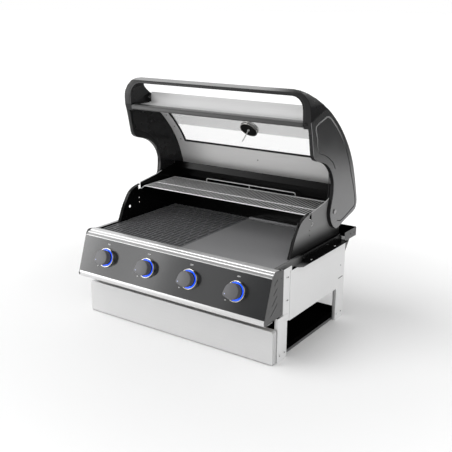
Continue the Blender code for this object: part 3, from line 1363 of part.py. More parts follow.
for side_name, side_sign in SIDES:
    hood_cap(side_name, side_sign)
    hinge_pin(side_name, side_sign)
hood_handle()
hood_front_rail()
hood_header()
window_glass()
hood_skin()
hood_inner_frame()
window_seal()
thermometer()


# Drip tray

tray_low = runner_low + SHEET + GAP
tray_half = runner_outer - SHEET - GAP


def drip_tray():
    """An open pan that slides out to the front."""
    top = tray_low + TRAY_HEIGHT
    front = SHEET + GAP
    pan = block("drip_tray", (-tray_half, front, tray_low), (tray_half, TRAY_BACK, top), enamel)
    hollow = block_tool("tray_hollow", (SHEET - tray_half, front + SHEET, tray_low + SHEET),
                        (tray_half - SHEET, TRAY_BACK - SHEET, top + OVERRUN))
    cut(pan, hollow)


def drip_tray_front():
    """The tray's front panel, folded back along its top and both ends."""
    def outline(half, low, high, corner):
        return [(-half, low), (half, low), (half, high - corner), (half - corner, high), (corner - half, high),
                (-half, high - corner)]

    half, corner = TRAY_PANEL_HALF_WIDTH, TRAY_PANEL_CORNER
    panel = plate("drip_tray_front", [outline(half, TRAY_PANEL_BOTTOM, TRAY_PANEL_TOP, corner)], "Y", 0,
                  TRAY_PANEL_RETURN, stainless)
    inside = outline(half - SHEET, TRAY_PANEL_BOTTOM - OVERRUN, TRAY_PANEL_TOP - SHEET, corner)
    cut(panel, tool("tray_panel_inside", [inside], "Y", SHEET, TRAY_PANEL_RETURN + OVERRUN))


def tray_runner(side, sign):
    """An angle on the feet, which the tray slides along."""
    outer = sign * runner_outer
    line = [(outer - sign * RUNNER_LIP, runner_low), (outer, runner_low), (outer, RUNNER_HEIGHT)]
    folded("tray_runner_" + side, line, "Y", RUNNER_FRONT, TRAY_BACK, plated, side=sign)


drip_tray()
drip_tray_front()
for side_name, side_sign in SIDES:
    tray_runner(side_name, side_sign)


# Faces that booleans split are joined, and the middle of the whole box comes to Y = 0

def centre_front_to_back():
    bpy.context.view_layer.update()
    graph = bpy.context.evaluated_depsgraph_get()
    reach = []
    for piece in parts.objects:
        if piece.type != "EMPTY":
            ready = piece.evaluated_get(graph)
            reach += [(ready.matrix_world @ vertex.co).y for vertex in ready.to_mesh().vertices]
            ready.to_mesh_clear()
    shift = (min(reach) + max(reach)) / 2
    for piece in [*parts.objects, *cutters.objects]:
        if piece.parent is None:
            piece.matrix_basis = Matrix.Translation((0, -shift, 0)) @ piece.matrix_basis
    print(f"everything moved by {-shift:.6f} m along Y")


for made_piece in parts.objects:
    if made_piece.name != "warming_rack" and any(step.type == "BOOLEAN" for step in made_piece.modifiers):
        merge_flats(made_piece)
centre_front_to_back()
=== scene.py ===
import json
from math import atan2, cos, degrees, pi, radians, sin

import bmesh
import bpy
from mathutils import Matrix, Vector
from mathutils.geometry import interpolate_bezier


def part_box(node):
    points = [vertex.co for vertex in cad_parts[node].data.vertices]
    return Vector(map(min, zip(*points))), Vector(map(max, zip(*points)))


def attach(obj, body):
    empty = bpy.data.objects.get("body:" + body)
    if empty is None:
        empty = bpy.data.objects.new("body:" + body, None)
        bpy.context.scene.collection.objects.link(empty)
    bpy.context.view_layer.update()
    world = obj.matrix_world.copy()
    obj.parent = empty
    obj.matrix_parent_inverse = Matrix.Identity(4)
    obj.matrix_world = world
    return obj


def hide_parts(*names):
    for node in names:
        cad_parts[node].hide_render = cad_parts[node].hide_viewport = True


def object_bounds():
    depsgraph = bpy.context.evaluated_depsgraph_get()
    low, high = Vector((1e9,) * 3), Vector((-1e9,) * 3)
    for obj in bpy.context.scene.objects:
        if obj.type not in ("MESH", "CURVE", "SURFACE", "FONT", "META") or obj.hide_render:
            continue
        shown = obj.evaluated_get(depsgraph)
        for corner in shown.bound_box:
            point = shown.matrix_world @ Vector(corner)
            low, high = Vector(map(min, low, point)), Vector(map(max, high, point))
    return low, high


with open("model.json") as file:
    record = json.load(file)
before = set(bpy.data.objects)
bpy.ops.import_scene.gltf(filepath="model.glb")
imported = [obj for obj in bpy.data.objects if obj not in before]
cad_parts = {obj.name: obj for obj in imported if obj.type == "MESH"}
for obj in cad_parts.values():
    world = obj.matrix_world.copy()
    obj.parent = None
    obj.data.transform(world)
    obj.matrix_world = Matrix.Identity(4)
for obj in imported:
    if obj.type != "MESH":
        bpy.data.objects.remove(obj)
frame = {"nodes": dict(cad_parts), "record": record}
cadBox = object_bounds()
sceneCollection = bpy.context.scene.collection
print("frame loaded:", len(frame["nodes"]), "nodes")


# shared measures, in the frame's metres
yShift = -0.274978          # the drawing's front face to the frame's middle
hinge = Vector((0.159022, 0.444))
hoodSpan = (0.400, 0.529)   # what the hood's outlines are shares of, along Y and Z
slopeUp = Vector((0, 0.323113, 0.946360))    # along the fascia
slopeOut = Vector((0, -0.946360, 0.323113))  # out of the fascia
fasciaBottom = Vector((0, -0.0548 + yShift, 0.1862))
knobPlaces = (-0.295, -0.097, 0.097, 0.295)
knobRise = 0.0725
weld = 0.00001              # points nearer than this are one
sides = (("left", -1), ("right", 1))


def placed(name, data):  # an object that holds the data, in the scene
    thing = bpy.data.objects.new(name, data)
    sceneCollection.objects.link(thing)
    return thing


# shader nodes

def addNode(tree, kind, inputs=None, **settings):  # a node with its settings, then its fixed input values
    node = tree.nodes.new("ShaderNode" + kind)
    for label, value in settings.items():
        setattr(node, label, value)
    for label, value in (inputs or {}).items():
        node.inputs[label].default_value = value
    return node


def colour(tone):  # a grey given as one number, or red, green and blue
    return (*tone, 1) if isinstance(tone, tuple) else (tone, tone, tone, 1)


def rangeNode(tree, start, end=(0, 1), soft=False):  # carries one span of values over to another
    ends = zip(("From Min", "From Max", "To Min", "To Max"), (*start, *end))
    return addNode(tree, "MapRange", dict(ends), interpolation_type="SMOOTHSTEP" if soft else "LINEAR")


def toneNode(tree, dark, light):
    return addNode(tree, "Mix", {"A": colour(dark), "B": colour(light)}, data_type="RGBA")


def joinUp(tree, *rows):  # each row: a node, its output, the next node, its input
    for source, outlet, target, inlet in rows:
        tree.links.new(source.outputs[outlet], target.inputs[inlet])


def newGroup(name, inputs, outputs):
    group = bpy.data.node_groups.new(name, "ShaderNodeTree")
    for label, value in inputs.items():
        kind = "NodeSocketVector" if isinstance(value, tuple) else "NodeSocketFloat"
        group.interface.new_socket(name=label, in_out="INPUT", socket_type=kind).default_value = value
    for label in outputs:
        group.interface.new_socket(name=label, in_out="OUTPUT", socket_type="NodeSocketFloat")
    return group, group.nodes.new("NodeGroupInput"), group.nodes.new("NodeGroupOutput")


def makeGrainGroup():  # stretched streaks for brushed and rolled metal
    group, entry, leave = newGroup("metalGrain", {"Stretch": (1, 60, 60), "Fineness": 12.0, "Blotch Size": 5.0},
                                   ("Grain", "Blotch"))
    place = addNode(group, "TexCoord")
    stretch = addNode(group, "VectorMath", operation="MULTIPLY")
    streaks = addNode(group, "TexNoise", {"Detail": 3})
    clouds = addNode(group, "TexNoise", {"Detail": 2})
    joinUp(group, (place, "Object", stretch, 0), (entry, "Stretch", stretch, 1), (stretch, 0, streaks, "Vector"),
           (entry, "Fineness", streaks, "Scale"), (place, "Object", clouds, "Vector"),
           (entry, "Blotch Size", clouds, "Scale"), (streaks, "Fac", leave, "Grain"), (clouds, "Fac", leave, "Blotch"))
    return group


def makeSpeckleGroup():  # pits and specks of castings, enamel and moulded plastic
    group, entry, leave = newGroup("castSpeckle", {"Pit Size": 900.0, "Blotch Size": 8.0}, ("Pits", "Blotch"))
    place = addNode(group, "TexCoord")
    pits = addNode(group, "TexVoronoi")
    clouds = addNode(group, "TexNoise", {"Detail": 4})
    joinUp(group, (place, "Object", pits, "Vector"), (entry, "Pit Size", pits, "Scale"),
           (place, "Object", clouds, "Vector"), (entry, "Blotch Size", clouds, "Scale"),
           (pits, "Distance", leave, "Pits"), (clouds, "Fac", leave, "Blotch"))
    return group


grainGroup = makeGrainGroup()
speckleGroup = makeSpeckleGroup()


# materials

materials = {}
reliefDepth = 0.0002
sheenSpan = (0.3, 0.7)      # the part of the blotches that the roughness follows
speckScale, speckShare = 900, 0.08   # how fine the specks of a fading tone are, and how much of it they make


def blankMaterial(name, metallic=0.0, gloss=0.5, **fixed):
    made = bpy.data.materials.new(name)
    made.use_nodes = True
    shader = made.node_tree.nodes["Principled BSDF"]
    shader.inputs["Metallic"].default_value = metallic
    shader.inputs["Specular IOR Level"].default_value = gloss
    for label, value in fixed.items():
        shader.inputs[label.replace("_", " ")].default_value = value
    return made, made.node_tree, shader


def dress(tree, shader, group, label, value, fine, dark, light, rough, bump):
    effect = addNode(tree, "Group", node_tree=group)
    effect.inputs[label].default_value = value
    tone = toneNode(tree, dark, light)
    sheen = rangeNode(tree, sheenSpan, rough)
    relief = addNode(tree, "Bump", {"Strength": bump, "Distance": reliefDepth})
    joinUp(tree, (effect, fine, tone, "Factor"), (tone, "Result", shader, "Base Color"),
           (effect, "Blotch", sheen, "Value"), (sheen, "Result", shader, "Roughness"),
           (effect, fine, relief, "Height"), (relief, "Normal", shader, "Normal"))


def grainMetal(name, dark, light, rough, stretch, bump=0.02, metallic=1.0):
    materials[name], tree, shader = blankMaterial(name, metallic)
    dress(tree, shader, grainGroup, "Stretch", stretch, "Grain", dark, light, rough, bump)


def speckled(name, dark, light, rough, pitSize, bump=0.2, metallic=0.0, gloss=0.5):
    materials[name], tree, shader = blankMaterial(name, metallic, gloss)
    dress(tree, shader, speckleGroup, "Pit Size", pitSize, "Pits", dark, light, rough, bump)


def fading(name, axis, low, high, dark, light, rough, gloss=0.5, glow=0.0):
    # a tone that runs from dark to light along one axis, with fine specks in it
    materials[name], tree, shader = blankMaterial(name, gloss=gloss, Roughness=rough)
    place = addNode(tree, "TexCoord")
    split = addNode(tree, "SeparateXYZ")
    run = rangeNode(tree, (low, high), soft=True)
    specks = addNode(tree, "TexNoise", {"Scale": speckScale})
    blend = addNode(tree, "Math", {1: speckShare}, operation="MULTIPLY_ADD")
    tone = toneNode(tree, dark, light)
    joinUp(tree, (place, "Object", split, 0), (place, "Object", specks, "Vector"), (split, axis, run, "Value"),
           (specks, "Fac", blend, 0), (run, "Result", blend, 2), (blend, "Value", tone, "Factor"),
           (tone, "Result", shader, "Base Color"))
    if glow:
        joinUp(tree, (tone, "Result", shader, "Emission Color"))
        shader.inputs["Emission Strength"].default_value = glow


def makePane(name, low, high, clear, upperAlpha):  # clear glass that is greyer and less clear above a set height
    materials[name], tree, shader = blankMaterial(name, Roughness=0.04, IOR=1.45, Base_Color=colour(0.48))
    place = addNode(tree, "TexCoord")
    split = addNode(tree, "SeparateXYZ")
    band = rangeNode(tree, (low, high), (clear, upperAlpha))
    joinUp(tree, (place, "Object", split, 0), (split, "Z", band, "Value"), (band, "Result", shader, "Alpha"))


alongX, alongY, alongZ = (1, 60, 60), (60, 1, 60), (60, 60, 1)   # which way the streaks run

grainMetal("brightTrim", 0.70, 0.72, (0.33, 0.36), alongX, bump=0.0, metallic=0.8)
# painted shade: a darker copy of the trim's metal, for the band along the top trim's groove
grainMetal("trimShade", 0.24, 0.28, (0.30, 0.36), alongX, bump=0.0, metallic=0.2)
grainMetal("brushedPanel", 0.64, 0.70, (0.50, 0.60), alongX, metallic=0.08)
grainMetal("paleSheet", 0.78, 0.84, (0.38, 0.50), alongZ, metallic=0.15)
grainMetal("trayFront", 0.60, 0.66, (0.36, 0.44), alongX, bump=0.15, metallic=0.35)
grainMetal("leftFlange", 0.40, 0.46, (0.10, 0.16), alongY)
grainMetal("channelGrey", 0.09, 0.13, (0.26, 0.36), alongX, bump=0.03, metallic=0.4)
grainMetal("probeSteel", 0.70, 0.78, (0.20, 0.28), alongZ, bump=0.0, metallic=0.2)
grainMetal("rackWire", 0.58, 0.66, (0.34, 0.46), alongY, metallic=0.15)
grainMetal("rackBright", 0.66, 0.74, (0.26, 0.34), alongX, bump=0.01, metallic=0.5)
grainMetal("burnerSteel", (0.40, 0.37, 0.33), (0.56, 0.53, 0.49), (0.30, 0.46), alongY, bump=0.15)
grainMetal("linerSteel", (0.86, 0.855, 0.85), (0.92, 0.915, 0.91), (0.34, 0.44), alongX, metallic=0.0)
speckled("boxEnamel", 0.0015, 0.003, (0.16, 0.24), 700, bump=0.02, gloss=0.15)
speckled("trayEnamel", 0.001, 0.002, (0.35, 0.50), 700, bump=0.02, gloss=0.0)
speckled("castBlack", (0.008, 0.008, 0.0085), (0.012, 0.012, 0.0125), (0.24, 0.32), 1100, bump=0.03, gloss=0.28)
speckled("capSkin", (0.21, 0.21, 0.212), (0.24, 0.24, 0.242), (0.20, 0.27), 1100, bump=0.03, metallic=0.92)
speckled("gaugeBlack", 0.006, 0.010, (0.45, 0.55), 900, bump=0.02, gloss=0.15)
speckled("railGrey", 0.028, 0.036, (0.30, 0.38), 1100, bump=0.02, gloss=0.6)
speckled("skinBlack", 0.004, 0.007, (0.35, 0.45), 800, bump=0.03, gloss=0.02)
speckled("castIron", (0.105, 0.105, 0.108), (0.130, 0.130, 0.134), (0.40, 0.52), 1400, bump=0.04)
speckled("plateIron", (0.195, 0.195, 0.200), (0.205, 0.205, 0.210), (0.28, 0.32), 1500, bump=0.0, gloss=1.0)
speckled("fasciaGloss", (0.015, 0.0155, 0.0165), (0.021, 0.0215, 0.0225), (0.13, 0.17), 1500, bump=0.01, gloss=0.6)
speckled("endCapGrey", 0.10, 0.14, (0.28, 0.38), 900, bump=0.05, metallic=0.6)
speckled("knobGrey", (0.100, 0.100, 0.105), (0.120, 0.120, 0.125), (0.36, 0.46), 1600, bump=0.08, metallic=0.2)
speckled("brightChrome", (0.72, 0.71, 0.68), (0.82, 0.81, 0.78), (0.06, 0.12), 500, bump=0.01, metallic=1.0)
speckled("sealBlack", 0.008, 0.014, (0.55, 0.70), 900)
speckled("screwSteel", 0.34, 0.48, (0.20, 0.32), 900, bump=0.03, metallic=1.0)
speckled("brassTrain", (0.46, 0.33, 0.12), (0.62, 0.46, 0.20), (0.24, 0.36), 800, bump=0.05, metallic=1.0)
speckled("igniterPlastic", (0.014, 0.014, 0.015), (0.024, 0.024, 0.025), (0.42, 0.55), 1200)
speckled("dialBlack", 0.012, 0.020, (0.30, 0.40), 900)
speckled("printWhite", 0.74, 0.82, (0.45, 0.55), 900, bump=0.0)
# painted sheen: the wing's outer face runs from black low down to grey high up, standing in for reflected light
fading("wingPaintedSheen", "Z", 0.350, 0.415, 0.002, 0.23, 0.30, gloss=0.02)
# painted shade: the right counter flange runs from grey at the front to black further back
fading("darkFlange", "Y", -0.125, -0.055, 0.15, 0.004, 0.22, gloss=0.10)
# painted highlight along the handle's top, pale at the left and fading out to the right
fading("handlePaintedHighlight", "X", 0.20, 0.37, 0.40, 0.02, 0.25)
# painted highlight: the beads along the caps' grooves are pale high up and dark lower down
fading("groovePaintedHighlight", "Z", 0.640, 0.800, 0.006, 0.62, 0.30)
fading("ledBlue", "Z", 0.18, 0.32, (0.010, 0.075, 0.92), (0.014, 0.095, 1.0), 0.35, glow=1.6)
fading("pointerDot", "Z", 0.18, 0.32, (0.52, 0.60, 0.98), (0.60, 0.66, 1.0), 0.40, glow=0.5)
makePane("windowGlass", 0.6860, 0.6872, 0.11, 0.38)
print("materials made:", len(materials))


# outlines

def smoothLine(points, steps=5):  # a smooth open line through the points
    points = [Vector(point) for point in points]
    last = len(points) - 1
    leans = [(points[min(k + 1, last)] - points[max(k - 1, 0)]).normalized() for k in range(last + 1)]
    line = [points[0].to_2d()]
    for k in range(last):
        reach = (points[k + 1] - points[k]).length / 3
        run = interpolate_bezier(points[k], points[k] + leans[k] * reach,
                                 points[k + 1] - leans[k + 1] * reach, points[k + 1], steps + 1)
        line.extend(Vector(point).to_2d() for point in run[1:])
    return line


def moveSideways(line, distance):  # to the right of the line's run
    last = len(line) - 1
    moved = []
    for k, point in enumerate(line):
        ahead = (line[min(k + 1, last)] - line[max(k - 1, 0)]).normalized()
        moved.append(point + Vector((ahead.y, -ahead.x)) * distance)
    return moved


def bandOf(line, distance):  # the closed outline between a line and its moved copy
    return line + moveSideways(line, distance)[::-1]


def widened(line, half):  # the closed outline with the line along its middle
    return moveSideways(line, half) + moveSideways(line, -half)[::-1]


def arcLine(centre, radius, start, end, steps):
    turns = [radians(start + (end - start) * k / steps) for k in range(steps + 1)]
    return [Vector((centre[0] + radius * cos(turn), centre[1] + radius * sin(turn))) for turn in turns]


def alongCurve(line, share):  # the point and the run's heading at a share of a line's length
    lengths = [(after - before).length for before, after in zip(line, line[1:])]
    left = share * sum(lengths)
    for start, end, length in zip(line, line[1:], lengths):
        if left <= length:
            return start.lerp(end, left / length), (end - start).normalized()
        left -= length
    return line[-1], (line[-1] - line[-2]).normalized()


def partOf(line, low, high, count=40):
    return [alongCurve(line, low + (high - low) * k / count)[0] for k in range(count + 1)]


def hoodPoints(table):  # shares of the hood's span, as places
    return [hinge + Vector((y * hoodSpan[0], z * hoodSpan[1])) for y, z in table]


def shifted(points):  # places of the drawing, in the frame
    return [Vector((y + yShift, z)) for y, z in points]


# shapes

placeOf = {
    "X": lambda point, depth: Vector((depth, point[0], point[1])),
    "Y": lambda point, depth: Vector((point[0], depth, point[1])),
    "Z": lambda point, depth: Vector((point[0], point[1], depth)),
}


def extruded(shape, faces):  # runs a copy of the faces out and gives the copy's points, not yet moved
    run = bmesh.ops.extrude_face_region(shape, geom=faces, use_keep_orig=True)["geom"]
    return [item for item in run if isinstance(item, bmesh.types.BMVert)]


def addPlate(shape, loops, axis, low, high):  # a flat shape with holes, run along an axis
    edges = []
    for loop in loops:
        ring = [shape.verts.new(placeOf[axis](point, low)) for point in loop]
        edges += [shape.edges.new((ring[k - 1], ring[k])) for k in range(len(ring))]
    filled = bmesh.ops.triangle_fill(shape, use_beauty=True, edges=edges)["geom"]
    moved = extruded(shape, [item for item in filled if isinstance(item, bmesh.types.BMFace)])
    bmesh.ops.translate(shape, verts=moved, vec=placeOf[axis]((0, 0), high - low))


def addBox(shape, low, high):
    made = bmesh.ops.create_cube(shape, size=1)["verts"]
    low, high = Vector(low), Vector(high)
    bmesh.ops.scale(shape, vec=high - low, verts=made)
    bmesh.ops.translate(shape, vec=(low + high) / 2, verts=made)
    return made


def addRod(shape, start, end, radius, segments=12):
    start, end = Vector(start), Vector(end)
    made = bmesh.ops.create_cone(shape, cap_ends=True, segments=segments, radius1=radius, radius2=radius,
                                 depth=(end - start).length)["verts"]
    turn = (end - start).to_track_quat("Z", "Y").to_matrix().to_4x4()
    bmesh.ops.transform(shape, matrix=Matrix.Translation((start + end) / 2) @ turn, verts=made)


def addTurned(shape, profile, matrix, segments):  # profile in (radius, height), spun once round
    ring = [shape.verts.new((radius, 0, height)) for radius, height in profile]
    edges = [shape.edges.new(pair) for pair in zip(ring, ring[1:])]
    bmesh.ops.spin(shape, geom=ring + edges, cent=(0, 0, 0), axis=(0, 0, 1), angle=2 * pi, steps=segments,
                   use_merge=True, use_duplicate=False)
    swept = {vertex for vertex in shape.verts if vertex.is_valid and not vertex.tag}
    bmesh.ops.transform(shape, matrix=matrix, verts=list(swept))
    for vertex in swept:
        vertex.tag = True


def addTube(shape, points, radius, segments=8):  # a wire along the points
    points = [Vector(point) for point in points]
    rings = []
    for k, point in enumerate(points):
        ahead = (points[min(k + 1, len(points) - 1)] - points[max(k - 1, 0)]).normalized()
        turn = ahead.to_track_quat("Z", "X").to_matrix().to_4x4()
        ring = bmesh.ops.create_circle(shape, cap_ends=False, segments=segments, radius=radius)["verts"]
        bmesh.ops.transform(shape, matrix=Matrix.Translation(point) @ turn, verts=ring)
        rings.append(ring)
    for first, second in zip(rings, rings[1:]):
        for k in range(segments):
            shape.faces.new((first[k - 1], first[k], second[k], second[k - 1]))
    shape.faces.new(rings[0][::-1])
    shape.faces.new(rings[-1])


def bendLine(points, radius, steps=5):  # straight runs with round corners
    points = [Vector(point) for point in points]
    line = [points[0]]
    for before, corner, after in zip(points, points[1:], points[2:]):
        start = corner + (before - corner).normalized() * radius
        end = corner + (after - corner).normalized() * radius
        for step in range(steps + 1):
            share = step / steps
            line.append(start.lerp(corner, share).lerp(corner.lerp(end, share), share))
    line.append(points[-1])
    return line


def shapeOf(node):  # the node's own shape, in whole faces
    shape = bmesh.new()
    shape.from_mesh(frame["nodes"][node].data)
    bmesh.ops.remove_doubles(shape, verts=shape.verts, dist=weld)
    return shape


def skinOf(node, keep, move):  # a thin skin over the node's faces that keep allows
    shape = shapeOf(node)
    bmesh.ops.delete(shape, geom=[face for face in shape.faces if not keep(face)], context="FACES")
    for vertex in extruded(shape, list(shape.faces)):
        move(vertex)
    return shape


bevelSharp = 18             # a bevelled piece shades sharp over this turn, in degrees
flatTurn = 0.4              # faces that turn less than this are joined


def settle(name, shape, material, body, replaced=(), bevel=0.0, angle=32, recalc=True):
    bmesh.ops.remove_doubles(shape, verts=shape.verts, dist=weld)
    if recalc:
        bmesh.ops.recalc_face_normals(shape, faces=shape.faces)
    if bevel:
        sharp = [edge for edge in shape.edges if len(edge.link_faces) == 2 and edge.calc_face_angle() > radians(angle)]
        bmesh.ops.bevel(shape, geom=sharp, offset=bevel, offset_type="OFFSET", affect="EDGES", segments=2,
                        profile=0.5, material=-1, clamp_overlap=True)
    data = bpy.data.meshes.new(name)
    shape.to_mesh(data)
    shape.free()
    data.materials.append(materials[material])
    data.shade_smooth()
    data.set_sharp_from_angle(angle=radians(bevelSharp if bevel else angle))
    piece = placed(name, data)
    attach(piece, body)
    if replaced:
        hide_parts(*replaced)


def softened(node, material, body, bevel):
    # the node's own shape with its flat faces joined, its edges broken as folded and cast edges are when a bevel is
    # given
    shape = shapeOf(node)
    bmesh.ops.dissolve_limit(shape, angle_limit=radians(flatTurn), verts=shape.verts, edges=shape.edges)
    settle(node + "_finished", shape, material, body, (node,), bevel, recalc=False)


# stage, light and camera

stage = {
    "lens": 58.96, "sensor": 36.0, "yaw": 34.688, "pitch": 17.022, "roll": 0.12,
    "cameraPlace": (1.578, -2.222978, 1.190), "farthest": 200,
    "keyStrength": 1.15, "keyTurn": (38, 0, -52), "keyAngle": 38,
    "fillStrength": 0.50, "fillTurn": (58, 0, 62), "fillAngle": 60,
}
softBoxes = {
    "places": ((-2.85, -2.30, 0.70), (-2.25, -2.55, 0.72), (-1.65, -2.75, 0.75), (-1.05, -2.95, 0.78)),
    "powers": (15, 9, 3.5, 0.5), "aim": (0, -0.33, 0.25), "size": (0.80, 1.3),
}
floorPaint = {
    "size": 60, "near": 0.89, "far": 0.04, "rough": 0.55, "gloss": 0.25, "glow": 0.02,
    "fade": (2.8, 3.7), "whiteFade": (0.75, 1.9), "whiteGlow": 0.22,
}
room = {"shade": 0.66, "shineRange": (0.10, 0.95), "turnRange": (0.0, 0.7), "brightSide": (-0.85, 0.53, 0)}


def makeCamera():
    yaw, pitch, roll = (radians(stage[name]) for name in ("yaw", "pitch", "roll"))
    back = Vector((sin(yaw) * cos(pitch), -cos(yaw) * cos(pitch), sin(pitch)))
    right = (-back).cross(Vector((0, 0, 1))).normalized()
    up = right.cross(-back)
    turnedRight = right * cos(roll) + up * sin(roll)
    turnedUp = up * cos(roll) - right * sin(roll)
    data = bpy.data.cameras.new("camera")
    data.lens = stage["lens"]
    data.sensor_width = stage["sensor"]
    data.clip_end = stage["farthest"]
    camera = placed("camera", data)
    camera.matrix_world = Matrix.Translation(stage["cameraPlace"]) @ Matrix(
        (turnedRight, turnedUp, back)).transposed().to_4x4()
    bpy.context.scene.camera = camera


def makeSun(name, strength, turn, angle):
    data = bpy.data.lights.new(name, "SUN")
    data.energy = strength
    data.angle = radians(angle)
    placed(name, data).rotation_euler = [radians(value) for value in turn]


def makeSoftBox(number, place, power):  # seen only as a sheen on what shines
    data = bpy.data.lights.new(f"softBox{number}", "AREA")
    data.energy = power
    data.shape = "RECTANGLE"
    data.size, data.size_y = softBoxes["size"]
    data.diffuse_factor = 0
    lamp = placed(f"softBox{number}", data)
    away = Vector(place) - Vector(softBoxes["aim"])
    lamp.matrix_world = Matrix.Translation(place) @ away.to_track_quat("Z", "Y").to_matrix().to_4x4()
    lamp.visible_camera = False


def makeFloor():
    shape = bmesh.new()
    bmesh.ops.create_grid(shape, x_segments=1, y_segments=1, size=floorPaint["size"])
    data = bpy.data.meshes.new("floor")
    shape.to_mesh(data)
    shape.free()
    floor = placed("floor", data)
    made, tree, shader = blankMaterial("floorPaint", Roughness=floorPaint["rough"], Emission_Color=colour(1),
                                       gloss=floorPaint["gloss"])
    place = addNode(tree, "TexCoord")
    path = addNode(tree, "LightPath")
    reach = addNode(tree, "VectorMath", operation="LENGTH")
    fall = rangeNode(tree, floorPaint["fade"], soft=True)   # what shines sees the floor darken far off, as in a studio
    mirrored = addNode(tree, "Math", operation="MULTIPLY")
    shade = toneNode(tree, floorPaint["near"], floorPaint["far"])
    lit = rangeNode(tree, (0, 1), (floorPaint["glow"], 0))
    # far from the grill the floor goes over into the white backdrop
    away = rangeNode(tree, floorPaint["whiteFade"], (0, floorPaint["whiteGlow"]), soft=True)
    seen = addNode(tree, "Math", operation="MULTIPLY_ADD")
    joinUp(tree, (place, "Object", reach, 0), (reach, "Value", fall, "Value"), (fall, "Result", mirrored, 0),
           (path, "Is Glossy Ray", mirrored, 1), (mirrored, 0, shade, "Factor"), (mirrored, 0, lit, "Value"),
           (shade, "Result", shader, "Base Color"), (reach, "Value", away, "Value"), (away, "Result", seen, 0),
           (path, "Is Camera Ray", seen, 1), (lit, "Result", seen, 2), (seen, 0, shader, "Emission Strength"))
    data.materials.append(made)


def makeRoom():
    world = bpy.data.worlds.new("studio")
    bpy.context.scene.world = world
    world.use_nodes = True
    tree = world.node_tree
    background = tree.nodes["Background"]
    background.inputs["Color"].default_value = colour(1)
    path = addNode(tree, "LightPath")
    clear = addNode(tree, "Math", operation="MAXIMUM")
    level = rangeNode(tree, (0, 1))
    place = addNode(tree, "TexCoord")
    toward = addNode(tree, "VectorMath", {1: room["brightSide"]}, operation="DOT_PRODUCT")
    # for what shines, the room is bright on its back left side only
    shine = rangeNode(tree, room["turnRange"], room["shineRange"])
    ground = addNode(tree, "Mix", {"A": room["shade"]})
    joinUp(tree, (place, "Generated", toward, 0), (toward, "Value", shine, "Value"),
           (path, "Is Glossy Ray", ground, "Factor"), (shine, "Result", ground, "B"),
           (ground, "Result", level, "To Min"), (path, "Is Camera Ray", clear, 0),
           (path, "Is Transmission Ray", clear, 1), (clear, 0, level, "Value"),
           (level, "Result", background, "Strength"))


makeCamera()
makeFloor()
makeRoom()
for name in ("key", "fill"):
    makeSun(name + "Light", stage[name + "Strength"], stage[name + "Turn"], stage[name + "Angle"])
for number, (place, power) in enumerate(zip(softBoxes["places"], softBoxes["powers"]), 1):
    makeSoftBox(number, place, power)
bpy.context.scene.view_settings.view_transform = "Standard"
print("stage, light and camera set")


# sheet metal, castings and other pieces that keep the node's own shape

both, four, one = ("_left", "_right"), ("_1", "_2", "_3", "_4"), ("",)   # how the nodes' names end
finishes = (
    ("paleSheet", "plated_sheet", both, "side_panel", "front_post", "front_leg"),
    ("paleSheet", "plated_sheet", one, "back_panel"),
    ("leftFlange", "plated_sheet", one, "counter_flange_left"),
    # the right counter flange carries painted shade
    ("darkFlange", "plated_sheet", one, "counter_flange_right"),
    ("channelGrey", "plated_sheet", both, "tray_runner"),
    ("screwSteel", "plated_sheet", both, "hinge_pin"), ("screwSteel", "plated_sheet", four, "valve_stem"),
    ("boxEnamel", "brushed_stainless", both, "firebox_side"),
    ("boxEnamel", "brushed_stainless", one, "firebox_front_wall", "firebox_rear_wall"),
    ("burnerSteel", "brushed_stainless", four, "burner"), ("trayFront", "brushed_stainless", one, "drip_tray_front"),
    ("brushedPanel", "brushed_stainless", one, "hood_header_panel"),
    ("trayEnamel", "black_enamel", one, "rear_channel", "drip_tray"), ("plateIron", "cast_iron", one, "hot_plate"),
    ("fasciaGloss", "fascia_black", one, "fascia_panel"), ("endCapGrey", "fascia_black", both, "fascia_end_cap"),
    ("railGrey", "hood_paint", one, "hood_front_rail"), ("skinBlack", "hood_paint", one, "hood_skin"),
    ("castBlack", "cast_black", one, "hood_handle"), ("sealBlack", "seal_black", one, "window_seal"),
    ("brassTrain", "brass", one, "gas_manifold"), ("igniterPlastic", "igniter_plastic", one, "igniter"),
    ("windowGlass", "window_glass", one, "window_glass"),
)
broken = {"hood_handle": 0.0022, "hot_plate": 0.0010, "drip_tray_front": 0.0008, "hood_front_rail": 0.0008}
bodyOf = {node: body for body, nodes in frame["record"]["behaviour"]["bodies"].items() for node in nodes}
finished = 0
for material, slotName, endings, *starts in finishes:
    for node in [start + ending for start in starts for ending in endings]:
        softened(node, material, bodyOf[node], broken.get(node, 0.0))
        finished += 1
print("sheet metal and castings finished:", finished)


# fascia: trims and printed marks

trims = {
    "halfWidth": 0.4198, "thickness": 0.0014, "bandLift": 0.0003,
    # (y, z) from the fascia's front face up and back to the lip over the plates
    "topLine": ((-0.0098, 0.3180), (-0.0104, 0.3192), (-0.0098, 0.3205), (-0.0082, 0.3213), (-0.0067, 0.3222),
                (-0.0059, 0.3240), (-0.0050, 0.3262), (-0.0035, 0.3285), (-0.0010, 0.3304), (0.0022, 0.3318),
                (0.0060, 0.3328), (0.0096, 0.3334), (0.0106, 0.3342), (0.0114, 0.3354), (0.0130, 0.3363),
                (0.0200, 0.3368), (0.0352, 0.3370)),
    "lowLine": ((-0.0548, 0.1862), (-0.0562, 0.1835), (-0.0569, 0.1800), (-0.0567, 0.1755), (-0.0560, 0.1710),
                (-0.0545, 0.1670), (-0.0520, 0.1642), (-0.0485, 0.1626), (-0.0440, 0.1622), (-0.0020, 0.1622)),
}


